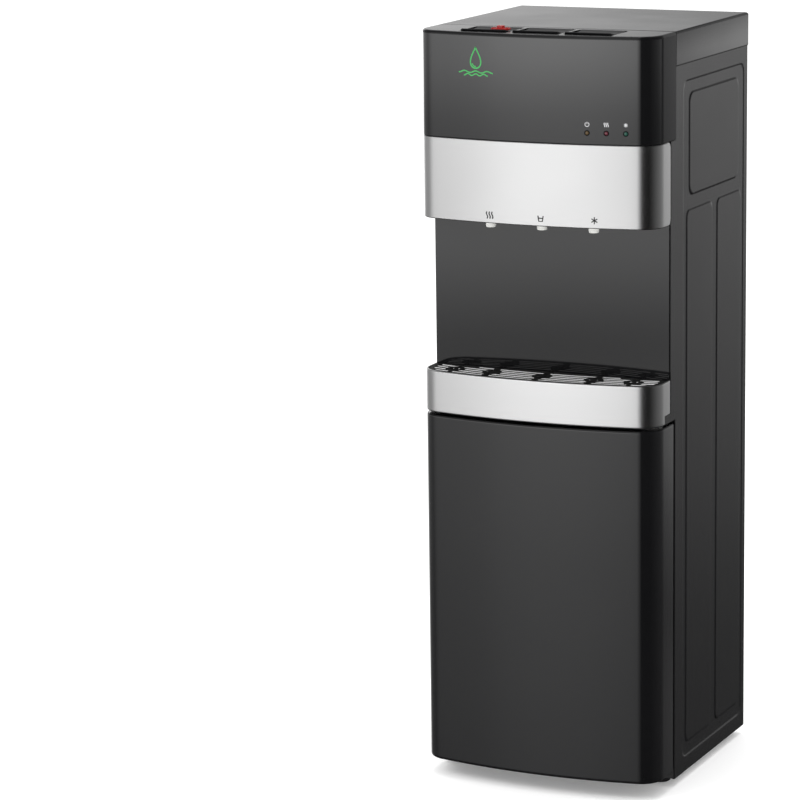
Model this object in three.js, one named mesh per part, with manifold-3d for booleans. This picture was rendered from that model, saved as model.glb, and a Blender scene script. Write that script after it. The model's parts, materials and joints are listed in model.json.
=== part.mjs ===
// A floor-standing bottom-loading water dispenser, in millimetres, +Z up, front towards -Y.
// The origin is on the floor under the middle of the whole body.
// Steel cabinet, bowed plastic head, silver tap band, dispensing bay, sliding drip tray and a bowed door
// over the compartment for an 18.9 litre bottle (270 mm across, 490 mm high).
import * as THREE from "three";
import { mergeVertices } from "three/addons/utils/BufferGeometryUtils.js";
import Module from "manifold-3d";

const wasm = await Module();
wasm.setup();

// ---- Driving dimensions -----------------------------------------------------------------------
const WIDTH = 360;
const DEPTH = 388;
const HEIGHT = 1085;
const GAP = 0.3; // between pieces that meet

const HALF = WIDTH / 2;
const FRONT = -DEPTH / 2;
const REAR = DEPTH / 2;
const REAR_FACE = REAR - 14.5; // the rear cover is sunk so that its fittings stay inside the depth

const SHEET = 1.2; // steel panels
const WALL = 3; // plastic mouldings
const FOOT_HEIGHT = 12;

const CABINET_FRONT = FRONT + 95.5; // front edge of the steel side panels
const BAY_FRONT = CABINET_FRONT - 22.5; // face of the panel behind the taps
const DOOR_SEAT = CABINET_FRONT - 8; // front frame's face behind the door
const DOOR_BACK = DOOR_SEAT - 1.8;

const BOW_SAGITTA = 21; // how far the middle of the front stands ahead of its ends
const CORNER_RADIUS = 34;

const DOOR_BOTTOM = 25;
const DOOR_TOP = 537;
const DOORWAY = [32, 527]; // clear height for the bottle
const SHELF_BOTTOM = 541; // ledge that carries the drip tray
const SHELF_TOP = 554;
const TRAY_TOP = 601;
const BAND_BOTTOM = 820;
const BAND_TOP = 936;
const SKIRT_BOTTOM = 1037; // lower edge of the top cover's skirt

const TAP_PITCH = 78;
const TAP_Y = -151;
const TAPS = ["hot", "warm", "cold"];

const BASE_BOTTOM = FOOT_HEIGHT + GAP;
const BASE_SHEET = 1.5;
const PANEL_OUTER = HALF - SHEET - GAP; // outer face of a side panel's flat sheet
const PANEL_INNER = PANEL_OUTER - SHEET;
const INSIDE = PANEL_INNER - 1.8; // half width of what hangs between the side panels
const MID_DECK_Z = 640; // ceiling of the bottle compartment
const UPPER_DECK_Z = 815;
const HINGE_X = -HALF + 6;
const HINGE_Y = DOOR_BACK - 7.7;
const HINGE_PIN_RADIUS = 3;

// ---- Solids -----------------------------------------------------------------------------------
function solidOf(geometry) {
  const bare = geometry.index ? geometry.toNonIndexed() : geometry.clone();
  bare.deleteAttribute("normal");
  bare.deleteAttribute("uv");
  const merged = mergeVertices(bare, 1e-3);
  return new wasm.Manifold(
    new wasm.Mesh({
      numProp: 3,
      vertProperties: merged.attributes.position.array,
      triVerts: new Uint32Array(merged.index.array),
    }),
  );
}

function geometryOf(solid) {
  const mesh = solid.getMesh();
  const geometry = new THREE.BufferGeometry();
  geometry.setAttribute("position", new THREE.BufferAttribute(mesh.vertProperties, 3));
  geometry.setIndex(new THREE.BufferAttribute(mesh.triVerts, 1));
  geometry.computeVertexNormals();
  return geometry;
}

function box([x0, x1], [y0, y1], [z0, z1]) {
  const geometry = new THREE.BoxGeometry(x1 - x0, y1 - y0, z1 - z0);
  return solidOf(geometry.translate((x0 + x1) / 2, (y0 + y1) / 2, (z0 + z1) / 2));
}

// A mirrored pair of boxes, one each side of the middle plane.
const pairOfBoxes = ([x0, x1], y, z) => box([x0, x1], y, z).add(box([-x1, -x0], y, z));

// A cylinder, or a cone with two radii, standing on z0 at (x, y).
function upright(x, y, [z0, z1], radius, sides = 24, topRadius = radius) {
  const geometry = new THREE.CylinderGeometry(topRadius, radius, z1 - z0, sides);
  return solidOf(geometry.rotateX(Math.PI / 2).translate(x, y, (z0 + z1) / 2));
}

// A cylinder along Y, from y0 to y1.
function alongY(x, [y0, y1], z, radius, sides = 16) {
  const geometry = new THREE.CylinderGeometry(radius, radius, y1 - y0, sides);
  return solidOf(geometry.translate(x, (y0 + y1) / 2, z));
}

// A cylinder along X, from x0 to x1.
function alongX([x0, x1], y, z, radius, sides = 16) {
  const geometry = new THREE.CylinderGeometry(radius, radius, x1 - x0, sides);
  return solidOf(geometry.rotateZ(Math.PI / 2).translate((x0 + x1) / 2, y, z));
}

// An upright body turned from [radius, height] points, bottom first, at (x, y).
function turned(x, y, profile, sides = 28) {
  const points = profile.map(([radius, z]) => new THREE.Vector2(radius, z));
  const geometry = new THREE.LatheGeometry(points, sides);
  return solidOf(geometry.rotateX(Math.PI / 2).translate(x, y, 0));
}

// A plan outline (x, y) raised from z0 to z1.
function raised(shape, [z0, z1], curveSegments = 4) {
  const geometry = new THREE.ExtrudeGeometry(shape, { depth: z1 - z0, bevelEnabled: false, curveSegments });
  return solidOf(geometry.translate(0, 0, z0));
}

// A side outline (y, z) carried from x0 to x1.
function across(shape, [x0, x1], curveSegments = 2) {
  const geometry = new THREE.ExtrudeGeometry(shape, { depth: x1 - x0, bevelEnabled: false, curveSegments });
  const turn = new THREE.Matrix4().makeBasis(
    new THREE.Vector3(0, 1, 0),
    new THREE.Vector3(0, 0, 1),
    new THREE.Vector3(1, 0, 0),
  );
  return solidOf(geometry.applyMatrix4(turn).translate(x0, 0, 0));
}

function roundedRectangle([u0, u1], [v0, v1], radius) {
  const shape = new THREE.Shape();
  shape.moveTo(u0 + radius, v0);
  shape.lineTo(u1 - radius, v0);
  shape.absarc(u1 - radius, v0 + radius, radius, -Math.PI / 2, 0, false);
  shape.absarc(u1 - radius, v1 - radius, radius, 0, Math.PI / 2, false);
  shape.absarc(u0 + radius, v1 - radius, radius, Math.PI / 2, Math.PI, false);
  shape.absarc(u0 + radius, v0 + radius, radius, Math.PI, 1.5 * Math.PI, false);
  return shape;
}

// ---- The bowed front --------------------------------------------------------------------------
// The front is one wide arc between two rounded corners. Every bowed piece follows it, set in by an offset.
const BOW_RADIUS = (HALF ** 2 + BOW_SAGITTA ** 2) / (2 * BOW_SAGITTA);
const BOW_CENTRE_Y = FRONT + BOW_RADIUS;
const CORNER_X = HALF - CORNER_RADIUS;
const CORNER_Y = BOW_CENTRE_Y - Math.sqrt((BOW_RADIUS - CORNER_RADIUS) ** 2 - CORNER_X ** 2);
const CORNER_TURN = Math.atan2(CORNER_X, BOW_CENTRE_Y - CORNER_Y); // the wide arc's half angle

function bowOutline(inset, back) {
  const down = -Math.PI / 2;
  const radius = CORNER_RADIUS - inset;
  const arcSteps = 12;
  const shape = new THREE.Shape();
  shape.moveTo(-HALF + inset, back);
  shape.lineTo(-HALF + inset, CORNER_Y);
  shape.absarc(-CORNER_X, CORNER_Y, radius, Math.PI, down * -3 - CORNER_TURN, false);
  for (let step = 1; step < arcSteps; step++) {
    const angle = down + CORNER_TURN * ((2 * step) / arcSteps - 1);
    const reach = BOW_RADIUS - inset;
    shape.lineTo(reach * Math.cos(angle), BOW_CENTRE_Y + reach * Math.sin(angle));
  }
  shape.absarc(CORNER_X, CORNER_Y, radius, down + CORNER_TURN, 0, false);
  shape.lineTo(HALF - inset, back);
  return shape;
}

const bowBlock = (inset, back, z) => raised(bowOutline(inset, back), z);

// An open-backed bowed wall, without top or bottom.
function bowShell(inset, thickness, back, [z0, z1]) {
  return bowBlock(inset, back, [z0, z1]).subtract(bowBlock(inset + thickness, back + 1, [z0 - 1, z1 + 1]));
}

// y of the bowed face at x
const bowFaceY = (x) => BOW_CENTRE_Y - Math.sqrt(BOW_RADIUS ** 2 - x ** 2);

// ---- Materials --------------------------------------------------------------------------------
const paint = (color, roughness, metalness = 0) => () =>
  new THREE.MeshStandardMaterial({ color, roughness, metalness });
const blackSteel = paint(0x2b2b2d, 0.5, 0.2);
const blackGloss = paint(0x232325, 0.25);
const blackMatt = paint(0x1a1a1b, 0.6);
const silver = paint(0xc9cacb, 0.3, 0.7);
const bareSteel = paint(0xa9abad, 0.35, 0.9);
const whitePlastic = paint(0xe6e6e2, 0.4);
const redPlastic = paint(0x8e1414, 0.35);
const tealPlastic = paint(0x0f8a93, 0.4);
const foam = paint(0xdcdcd6, 0.9);
const rubber = paint(0x151515, 0.85);
const clearHose = paint(0x9a9c9c, 0.4);
const amberLens = paint(0xc98a2a, 0.2);
const redLens = paint(0xa3263c, 0.2);
const greenLens = paint(0x1f8a6a, 0.2);

const dispenser = new THREE.Group();

function add(name, solid, material, position = [0, 0, 0], parent = dispenser) {
  const mesh = new THREE.Mesh(geometryOf(solid), material());
  mesh.name = name;
  mesh.position.set(...position);
  parent.add(mesh);
}

// ---- Steel cabinet ----------------------------------------------------------------------------
function basePan() {
  const outside = PANEL_INNER - GAP;
  const flange = [BASE_BOTTOM, BASE_BOTTOM + 15];
  const y = [CABINET_FRONT + 2, REAR - 4];
  return box([-outside, outside], y, flange).subtract(
    box(
      [-outside + BASE_SHEET, outside - BASE_SHEET],
      [y[0] + BASE_SHEET, y[1] - BASE_SHEET],
      [BASE_BOTTOM + BASE_SHEET, flange[1] + 1],
    ),
  );
}

// The right-hand panel: a sunk field holding three raised panels, and flanges turned in at front and rear.
const SUNK_FIELD = { y: [32, 276], z: [35, 1013], radius: 14 };
const RAISED_PANELS = [
  { y: [55, 254], z: [851, 995], radius: 14 },
  { y: [45, 147], z: [55, 830], radius: 10 },
  { y: [167, 265], z: [55, 830], radius: 10 },
];

function sidePanel() {
  const field = (f, grow, x) =>
    across(
      roundedRectangle(
        [CABINET_FRONT + f.y[0] - grow, CABINET_FRONT + f.y[1] + grow],
        [f.z[0] - grow, f.z[1] + grow],
        f.radius + grow,
      ),
      x,
    );
  const sink = 1.3; // the sunk field lies this far below the flat sheet
  const back = REAR - 1.8;
  let panel = box([PANEL_INNER, PANEL_OUTER], [CABINET_FRONT, back], [BASE_BOTTOM, HEIGHT - 3]);
  panel = panel
    .add(field(SUNK_FIELD, SHEET, [PANEL_INNER - sink, PANEL_INNER + 0.1]))
    .subtract(field(SUNK_FIELD, 0, [PANEL_OUTER - sink, PANEL_OUTER + 1]));
  for (const emboss of RAISED_PANELS) {
    panel = panel
      .add(field(emboss, 0, [PANEL_OUTER - sink - 0.1, HALF]))
      .subtract(field(emboss, -SHEET, [PANEL_INNER - sink - 1, HALF - SHEET]));
  }
  const flangeX = [160, PANEL_INNER + 0.1];
  const flangeZ = [40, SKIRT_BOTTOM - 1];
  return panel
    .add(box(flangeX, [CABINET_FRONT, CABINET_FRONT + SHEET], flangeZ))
    .add(box(flangeX, [back - SHEET, back], flangeZ));
}

function topCover() {
  const inner = HALF - SHEET;
  return box([-HALF, HALF], [CABINET_FRONT, REAR], [SKIRT_BOTTOM, HEIGHT]).subtract(
    box([-inner, inner], [CABINET_FRONT - 1, REAR - SHEET], [SKIRT_BOTTOM - 1, HEIGHT - SHEET]),
  );
}

const ROCKER_X = [-62, -22];
const SWITCH_Z = 700;
const DRAIN = { x: -120, z: 668, radius: 9 };
const INLET = { x: 120, z: 668 };

function rearCover() {
  const z = [558, HEIGHT - 4];
  const through = [REAR_FACE - 3, REAR_FACE + 1];
  let cover = box([-INSIDE, INSIDE], [REAR_FACE - SHEET, REAR_FACE], z).add(
    pairOfBoxes([INSIDE - SHEET, INSIDE], [REAR_FACE - 0.1, REAR - 3.3], [z[0], SKIRT_BOTTOM - 1]),
  );
  const slotRows = 7;
  for (const middle of [-80, 80]) {
    for (let row = 0; row < slotRows; row++) {
      const low = 840 + row * 22;
      cover = cover.subtract(box([middle - 50, middle + 50], through, [low, low + 7]));
    }
  }
  for (const x of ROCKER_X) {
    cover = cover.subtract(box([x - 9.5, x + 9.5], through, [SWITCH_Z - 14.5, SWITCH_Z + 14.5]));
  }
  return cover
    .subtract(alongY(DRAIN.x, through, DRAIN.z, DRAIN.radius + 1))
    .subtract(box([INLET.x - 15, INLET.x + 15], through, [INLET.z - 12, INLET.z + 12]));
}

// A shelf that hangs between the side panels.
function deck(z, [front, back]) {
  const flange = 14;
  return box([-INSIDE, INSIDE], [front, back], [z, z + BASE_SHEET]).add(
    pairOfBoxes([INSIDE - BASE_SHEET, INSIDE], [front, back], [z - flange, z + 0.1]),
  );
}

// ---- Front frame, bay and head ----------------------------------------------------------------
function frontFrame() {
  const back = CABINET_FRONT - GAP;
  const outside = HALF - 0.2;
  const doorway = box([-165, 165], [DOOR_SEAT - 1, back + 1], DOORWAY);
  const frameHeight = [BASE_BOTTOM + 2, SHELF_TOP];
  const surround = box([-outside, outside], [DOOR_SEAT, back], frameHeight).subtract(doorway);
  const shelf = box([-outside, outside], [BAY_FRONT - 21, back], [SHELF_BOTTOM, SHELF_TOP]);
  const posts = pairOfBoxes([166, outside], [BAY_FRONT + 2.8, back], [SHELF_TOP - 1, BAND_TOP - GAP]);
  const lintel = box([-167, 167], [BAY_FRONT + 10, back], [BAND_TOP - 20, BAND_TOP - GAP]);
  const pinHole = upright(HINGE_X, HINGE_Y, [SHELF_BOTTOM - 1, SHELF_TOP - 2], HINGE_PIN_RADIUS + GAP, 16);
  const magnetPocket = box([167.5, 177.5], [DOOR_SEAT - 1, DOOR_SEAT + 5], [279, 321]);
  return surround.add(shelf).add(posts).add(lintel).subtract(pinHole).subtract(magnetPocket);
}

const bayPanel = () => box([-178, 178], [BAY_FRONT, BAY_FRONT + 2.5], [SHELF_TOP + GAP, BAND_BOTTOM - 1]);

function silverBand() {
  const ends = roundedRectangle([FRONT - 40, BAY_FRONT], [BAND_BOTTOM, BAND_TOP], 9);
  return bowShell(0, 2.5, BAY_FRONT, [BAND_BOTTOM, BAND_TOP]).intersect(across(ends, [-HALF - 1, HALF + 1]));
}

function spoutPlate() {
  let plate = bowBlock(2.5 + GAP, BAY_FRONT + 2.5, [BAND_BOTTOM + 2, BAND_BOTTOM + 4.5]);
  for (const column of [-1, 0, 1]) {
    plate = plate.subtract(upright(column * TAP_PITCH, TAP_Y, [BAND_BOTTOM, BAND_BOTTOM + 6], 8 + GAP));
  }
  return plate;
}

const PADDLE = { halfWidth: 34, front: -172, back: -112, low: HEIGHT - 9 };
const PADDLE_GAP = 1.2;
const PIVOT = { y: PADDLE.back - 4, z: HEIGHT - 5, radius: 1.5 };
const LAMPS = [
  { name: "power_lamp", x: 84, lens: amberLens },
  { name: "heating_lamp", x: 111, lens: redLens },
  { name: "cooling_lamp", x: 138, lens: greenLens },
];
const LAMP_Z = 952.5;

function headShell() {
  const back = CABINET_FRONT - GAP;
  const low = BAND_TOP + GAP;
  let head = bowBlock(0, back, [low, HEIGHT]).subtract(bowBlock(WALL, back + 1, [low - 1, HEIGHT - WALL]));
  for (const column of [-1, 0, 1]) {
    const middle = column * TAP_PITCH;
    const half = PADDLE.halfWidth + PADDLE_GAP;
    const well = [PADDLE.front - PADDLE_GAP, PADDLE.back + PADDLE_GAP];
    head = head.subtract(box([middle - half, middle + half], well, [HEIGHT - WALL - 1, HEIGHT + 1]));
  }
  const cheekY = [PIVOT.y - 4, PADDLE.back + PADDLE_GAP + 3];
  for (const x of [-1.5 * TAP_PITCH, -0.5 * TAP_PITCH, 0.5 * TAP_PITCH, 1.5 * TAP_PITCH]) {
    head = head.add(box([x - 2.5, x + 2.5], cheekY, [PIVOT.z - 6, HEIGHT - WALL + 1]));
  }
  head = head.subtract(alongX([-130, 130], PIVOT.y, PIVOT.z, PIVOT.radius + GAP, 12));
  for (const lamp of LAMPS) {
    const face = bowFaceY(lamp.x);
    head = head.subtract(alongY(lamp.x, [face - 3, face + 8], LAMP_Z, 3.2));
  }
  return head;
}

// ---- Paddles over the taps --------------------------------------------------------------------
// Made about the pivot rod's axis: a sloping dished key with a knuckle on the rod.
function paddle() {
  const front = PADDLE.front - PIVOT.y;
  const back = PADDLE.back - PIVOT.y;
  const top = HEIGHT - PIVOT.z;
  const side = new THREE.Shape();
  side.moveTo(front, PADDLE.low - PIVOT.z);
  side.lineTo(back, PADDLE.low - PIVOT.z);
  side.lineTo(back, top + 0.6);
  side.quadraticCurveTo((front + back) / 2, top - 4.5, front + 2, top + 3);
  side.lineTo(front, top + 2.4);
  const key = across(side, [-PADDLE.halfWidth, PADDLE.halfWidth], 6);
  return key.subtract(alongX([-50, 50], 0, 0, PIVOT.radius + GAP, 12));
}

function lockCatch() {
  const seat = roundedRectangle([-15, 15], [-8, 8], 3);
  const thumb = roundedRectangle([-5, 5], [-4, 4], 2);
  return raised(seat, [0, 2.6], 2).add(raised(thumb, [2.5, 6], 2));
}

// ---- Taps -------------------------------------------------------------------------------------
const spout = () =>
  turned(0, 0, [[0, -9], [4.5, -9], [4.5, -11.5], [7.4, -11.5], [8, -5], [8, 12], [0, 12]], 16);

// A tap valve, with the rod that its paddle presses.
function valve() {
  const rodTop = PADDLE.low - 5 - (BAND_BOTTOM + 12 + GAP);
  const bonnet = [[0, 0], [12, 0], [15, 10], [15, 26], [9, 30], [9, 42], [4, 42]];
  const body = turned(0, 0, [...bonnet, [4, rodTop], [0, rodTop]], 16);
  return body.add(alongY(0, [10, 30], 18, 5, 12)).add(box([-20, 20], [-4, 4], [3, 6]));
}

// ---- Drip tray --------------------------------------------------------------------------------
const TRAY_BACK = BAY_FRONT - 0.8;

function trayFront() {
  const notch = box([-HALF - 1, HALF + 1], [BAY_FRONT - 21.5, 0], [SHELF_BOTTOM - 1, SHELF_TOP + 0.5]);
  return bowShell(0, 2.5, TRAY_BACK, [SHELF_BOTTOM, TRAY_TOP]).subtract(notch);
}

function trayPan() {
  const floor = SHELF_TOP + GAP;
  const outer = bowBlock(2.5 + GAP, TRAY_BACK, [floor, TRAY_TOP - 4.5]);
  return outer.subtract(bowBlock(5, TRAY_BACK - 2.2, [floor + 2, TRAY_TOP]));
}

function dripGrille() {
  let grille = bowBlock(2.5 + GAP, TRAY_BACK, [TRAY_TOP - 4.2, TRAY_TOP - 0.5]);
  const rows = 5;
  const rowPitch = 11;
  const slotWidth = 6;
  const columns = [[-166, -121], [-115, -41], [-37, 37], [41, 115], [121, 166]];
  for (let row = 0; row < rows; row++) {
    const y = TRAY_BACK - 11 - row * rowPitch;
    const frontEdge = y - slotWidth / 2 - 4;
    for (const [x0, x1] of columns) {
      const reach = Math.max(Math.abs(x0), Math.abs(x1));
      const limit = reach > CORNER_X ? CORNER_Y - 16 : bowFaceY(reach) + 6;
      if (frontEdge < limit) continue;
      grille = grille.subtract(
        box([x0, x1], [y - slotWidth / 2, y + slotWidth / 2], [TRAY_TOP - 6, TRAY_TOP + 1]),
      );
    }
  }
  return grille;
}

// ---- Door -------------------------------------------------------------------------------------
function doorOuter() {
  const hollow = bowBlock(WALL, DOOR_BACK + 1, [DOOR_BOTTOM + WALL, DOOR_TOP - WALL]);
  const eased = box([-HALF - 2, -HALF + 3], [DOOR_BACK - 3, DOOR_BACK + 2], [0, HEIGHT]);
  const bore = upright(HINGE_X, HINGE_Y, [DOOR_BOTTOM - 1, DOOR_TOP + 1], HINGE_PIN_RADIUS + GAP, 16);
  return bowBlock(0, DOOR_BACK, [DOOR_BOTTOM, DOOR_TOP]).subtract(hollow).subtract(eased).subtract(bore);
}

function doorInner() {
  const half = HALF - WALL - GAP;
  const z = [DOOR_BOTTOM + WALL + GAP, DOOR_TOP - WALL - GAP];
  let liner = box([-half + 10, half], [DOOR_BACK - 2.7, DOOR_BACK - 0.5], z);
  for (const block of [[z[0], 60], [500, z[1]]]) {
    liner = liner.add(box([-half, -half + 12], [HINGE_Y - 9, DOOR_BACK - 0.5], block));
  }
  return liner
    .add(box([-150, 150], [DOOR_BACK - 10, DOOR_BACK - 2.6], [278, 282]))
    .subtract(upright(HINGE_X, HINGE_Y, [DOOR_BOTTOM, DOOR_TOP], HINGE_PIN_RADIUS + GAP, 16));
}

function lowerHinge() {
  const reach = [HINGE_Y - 8, CABINET_FRONT + 45];
  const plate = box([-HALF + 1, -HALF + 15], reach, [FOOT_HEIGHT - 2, FOOT_HEIGHT]);
  return plate.add(upright(HINGE_X, HINGE_Y, [FOOT_HEIGHT - 1, 45], HINGE_PIN_RADIUS, 16));
}

// ---- Bottle compartment -----------------------------------------------------------------------
const BOTTLE_FLOOR = 30;

function bottleTray() {
  const low = BASE_BOTTOM + BASE_SHEET + GAP;
  const y = [CABINET_FRONT + 4, 178];
  return box([-168, 168], y, [low, BOTTLE_FLOOR + 9])
    .subtract(box([-162, 162], [y[0] - 1, y[1] - 6], [BOTTLE_FLOOR, BOTTLE_FLOOR + 20]))
    .subtract(box([-164, 164], [y[0] + 4, y[1] - 4], [low - 1, BOTTLE_FLOOR - 4]));
}

const CONDENSER = { y: 184, low: 58, pitch: 38, tubes: 13, half: 152, straps: 4 };

// Wire-on-tube heat exchanger: one serpentine tube, with straps standing for its many wires.
function condenser() {
  const { y, low, pitch, tubes, half, straps } = CONDENSER;
  const tube = 2.5;
  const top = low + (tubes - 1) * pitch;
  let coil = box([-half, half], [y - tube, y + tube], [low - tube, low + tube]);
  for (let row = 1; row < tubes; row++) {
    const z = low + row * pitch;
    const bendX = row % 2 ? half - 2 * tube : -half;
    coil = coil
      .add(box([-half, half], [y - tube, y + tube], [z - tube, z + tube]))
      .add(box([bendX, bendX + 2 * tube], [y - tube, y + tube], [z - pitch, z]));
  }
  for (let strap = 0; strap < straps; strap++) {
    const x = (strap - (straps - 1) / 2) * 80;
    coil = coil.add(box([x - 1, x + 1], [y + tube - 0.5, y + tube + 1.5], [low - 12, top + 12]));
  }
  return coil;
}

// Two uprights and a cross rail on the rear flanges.
function condenserFrame() {
  const y = [REAR - 4.9, REAR - 3.4];
  return pairOfBoxes([144, 170], y, [44, 556]).add(box([-170, 170], y, [544, 556]));
}

// ---- Probe and pump ---------------------------------------------------------------------------
const PROBE = { x: 138, y: 142, rest: 524, collar: 8, cap: 56 };
const CAP_LOW = PROBE.rest + PROBE.collar + 2 * GAP;
const CAP_TOP = CAP_LOW + PROBE.cap;

function probeCap() {
  const profile = [
    [26, 0], [30, 0], [30, 46], [26, 50], [10, 50],
    [10, PROBE.cap], [7.6, PROBE.cap], [7.6, 44], [26, 44], [26, 0],
  ];
  let cap = turned(0, 0, profile, 20);
  const ribs = 8;
  for (let rib = 0; rib < ribs; rib++) {
    const angle = (rib / ribs) * 2 * Math.PI;
    const bar = box([28.5, 32], [-2, 2], [2, 40]).rotate([0, 0, (angle * 180) / Math.PI]);
    cap = cap.add(bar);
  }
  return cap;
}

const probeCollar = () =>
  turned(0, 0, [[26, 0], [32, 0], [32, PROBE.collar], [26, PROBE.collar], [26, 0]], 24);

// A long tube with a slotted foot.
function dipTube() {
  const foot = CAP_TOP - 480;
  const profile = [[0, foot + 3], [5, foot + 3], [5, foot], [7, foot], [7, CAP_TOP], [0, CAP_TOP]];
  const tube = turned(0, 0, profile, 16);
  return tube.subtract(box([-10, 10], [-1.5, 1.5], [foot - 1, foot + 12]));
}

const ELBOW_Z = CAP_TOP + 14;

function probeElbow() {
  return upright(0, 0, [CAP_TOP + GAP, ELBOW_Z], 9, 16)
    .add(alongX([-22, 5], 0, ELBOW_Z, 7, 16))
    .add(alongX([-14, -10], 0, ELBOW_Z, 9, 16));
}

function probeHanger() {
  const wall = INSIDE;
  const plate = box([PROBE.x - 30, wall], [PROBE.y - 30, PROBE.y + 28], [PROBE.rest - 3, PROBE.rest]);
  const slot = box([PROBE.x - 10, PROBE.x + 10], [PROBE.y - 40, PROBE.y], [PROBE.rest - 5, PROBE.rest + 2]);
  const eye = upright(PROBE.x, PROBE.y, [PROBE.rest - 5, PROBE.rest + 2], 10, 16);
  const lug = box([wall - 2, wall], [PROBE.y - 30, PROBE.y + 28], [PROBE.rest - 40, PROBE.rest - 2]);
  return plate.subtract(slot).subtract(eye).add(lug);
}

const PUMP = { x: -92, y: -72, z: 606, radius: 15, length: 60 };
const PUMP_INLET_X = PUMP.x + 46;

function pumpBracket() {
  const y = [PUMP.y + 17, PUMP.y + 18.5];
  const top = MID_DECK_Z - GAP;
  return box([-158, 10], y, [582, top]).add(box([-158, 10], [y[0], y[0] + 14], [top - 1.5, top]));
}

// The motor's can, the square pumping head and its two ports.
const pump = () =>
  alongX([PUMP.x - PUMP.length, PUMP.x + 1], PUMP.y, PUMP.z, PUMP.radius, 24)
    .add(box([PUMP.x, PUMP.x + 32], [PUMP.y - 16, PUMP.y + 16.5], [PUMP.z - 17, PUMP.z + 17]))
    .add(alongX([PUMP.x + 31, PUMP_INLET_X], PUMP.y, PUMP.z - 6, 5, 12))
    .add(alongX([PUMP.x + 31, PUMP_INLET_X], PUMP.y, PUMP.z + 9, 4, 12));

// The suction hose: from the elbow, folded once under the ceiling in two clips, to the pump's lower port.
const HOSE_RADIUS = 5;
const HOSE_ROUTE = [
  [PROBE.x - 22.3, PROBE.y, ELBOW_Z],
  [PROBE.x - 45, PROBE.y, ELBOW_Z],
  [60, 141, 609],
  [10, 140, 612],
  [-60, 140, 612],
  [-105, 138, 612],
  [-128, 122, 612],
  [-128, 100, 612],
  [-105, 84, 612],
  [-60, 82, 612],
  [10, 80, 612],
  [50, 66, 611],
  [62, 30, 609],
  [56, -20, 605],
  [40, -55, 601],
  [8, -71, 600],
  [PUMP_INLET_X + 25, PUMP.y, PUMP.z - 6],
  [PUMP_INLET_X + GAP, PUMP.y, PUMP.z - 6],
];

function hose() {
  const route = new THREE.CatmullRomCurve3(HOSE_ROUTE.map((point) => new THREE.Vector3(...point)));
  const section = new THREE.Shape();
  section.absarc(0, 0, HOSE_RADIUS, 0, 2 * Math.PI, false);
  const tube = new THREE.ExtrudeGeometry(section, { steps: 40, extrudePath: route, curveSegments: 4 });
  return solidOf(tube);
}

// A plate under the ceiling with a stirrup round each pass of the hose.
function hoseHanger() {
  const top = MID_DECK_Z - GAP;
  const low = 612 - HOSE_RADIUS - 3;
  let hanger = box([-60, 10], [70, 152], [top - 1.5, top]);
  for (const y of [81.5, 140.5]) {
    for (const x of [-54, 4]) {
      const stirrup = box([x - 5, x + 5], [y - 9.5, y + 9.5], [low, top - 1]);
      hanger = hanger.add(stirrup.subtract(box([x - 6, x + 6], [y - 7.5, y + 7.5], [low + 2, top - 2])));
    }
  }
  return hanger;
}

// ---- Cooling and heating plant ----------------------------------------------------------------
function compressor() {
  const deckTop = MID_DECK_Z + BASE_SHEET + GAP;
  const shell = turned(0, 0, [[0, 12], [50, 12], [60, 24], [62, 76], [60, 122], [44, 142], [0, 148]], 24);
  let base = box([-66, 66], [-48, 48], [8, 13]);
  for (const x of [-56, 56]) {
    for (const y of [-38, 38]) base = base.add(upright(x, y, [0, 10], 8, 12));
  }
  return shell.add(base).translate([0, 0, deckTop]);
}

function hotTank() {
  const low = MID_DECK_Z + BASE_SHEET + GAP;
  const shell = turned(0, 0, [[0, 14], [40, 14], [50, 22], [50, 128], [40, 138], [0, 138]], 24);
  let tank = shell.add(upright(0, 0, [134, 150], 6, 12)).add(alongY(-25, [30, 76], 26, 6, 12));
  for (const x of [-30, 30]) tank = tank.add(box([x - 6, x + 6], [-20, 20], [0, 18]));
  return tank.translate([0, 0, low]);
}

const TANK_LOW = UPPER_DECK_Z + BASE_SHEET + GAP;
// The cold tank in its foam jacket.
const coldTank = () =>
  turned(0, 0, [[0, 0], [92, 0], [92, 158], [88, 160], [92, 162], [92, 176], [80, 184], [0, 184]]).translate([
    0, 0, TANK_LOW,
  ]);

const controlBox = () =>
  box([-170, -132], [-60, 50], [838, 928]).add(box([-150, -140], [-72, -59], [850, 875]));

// ---- Assembly ---------------------------------------------------------------------------------
const mirrored = (solid) => solid.mirror([1, 0, 0]);

function addCabinet() {
  add("base_pan", basePan(), blackSteel);
  add("right_side_panel", sidePanel(), blackSteel);
  add("left_side_panel", mirrored(sidePanel()), blackSteel);
  add("top_cover", topCover(), blackSteel);
  add("rear_cover", rearCover(), blackSteel);
  add("mid_deck", deck(MID_DECK_Z, [CABINET_FRONT + 2, REAR_FACE - 3]), blackSteel);
  add("upper_deck", deck(UPPER_DECK_Z, [CABINET_FRONT + 2, REAR_FACE - 3]), blackSteel);
  for (const [x, side] of [[-145, "left"], [145, "right"]]) {
    for (const [y, end] of [[-70, "front"], [160, "rear"]]) {
      const foot = upright(0, 0, [0, FOOT_HEIGHT], 16, 20, 19);
      add(`foot_${end}_${side}`, foot, rubber, [x, y, 0]);
    }
  }
  add("front_frame", frontFrame(), blackMatt);
  add("bay_panel", bayPanel(), blackGloss);
  add("head_shell", headShell(), blackGloss);
  add("silver_band", silverBand(), silver);
  add("spout_plate", spoutPlate(), blackMatt);
  for (const lamp of LAMPS) {
    const face = bowFaceY(lamp.x);
    add(lamp.name, alongY(0, [0, 9], 0, 2.8, 12), lamp.lens, [lamp.x, face + 0.4, LAMP_Z]);
  }
}

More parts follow.
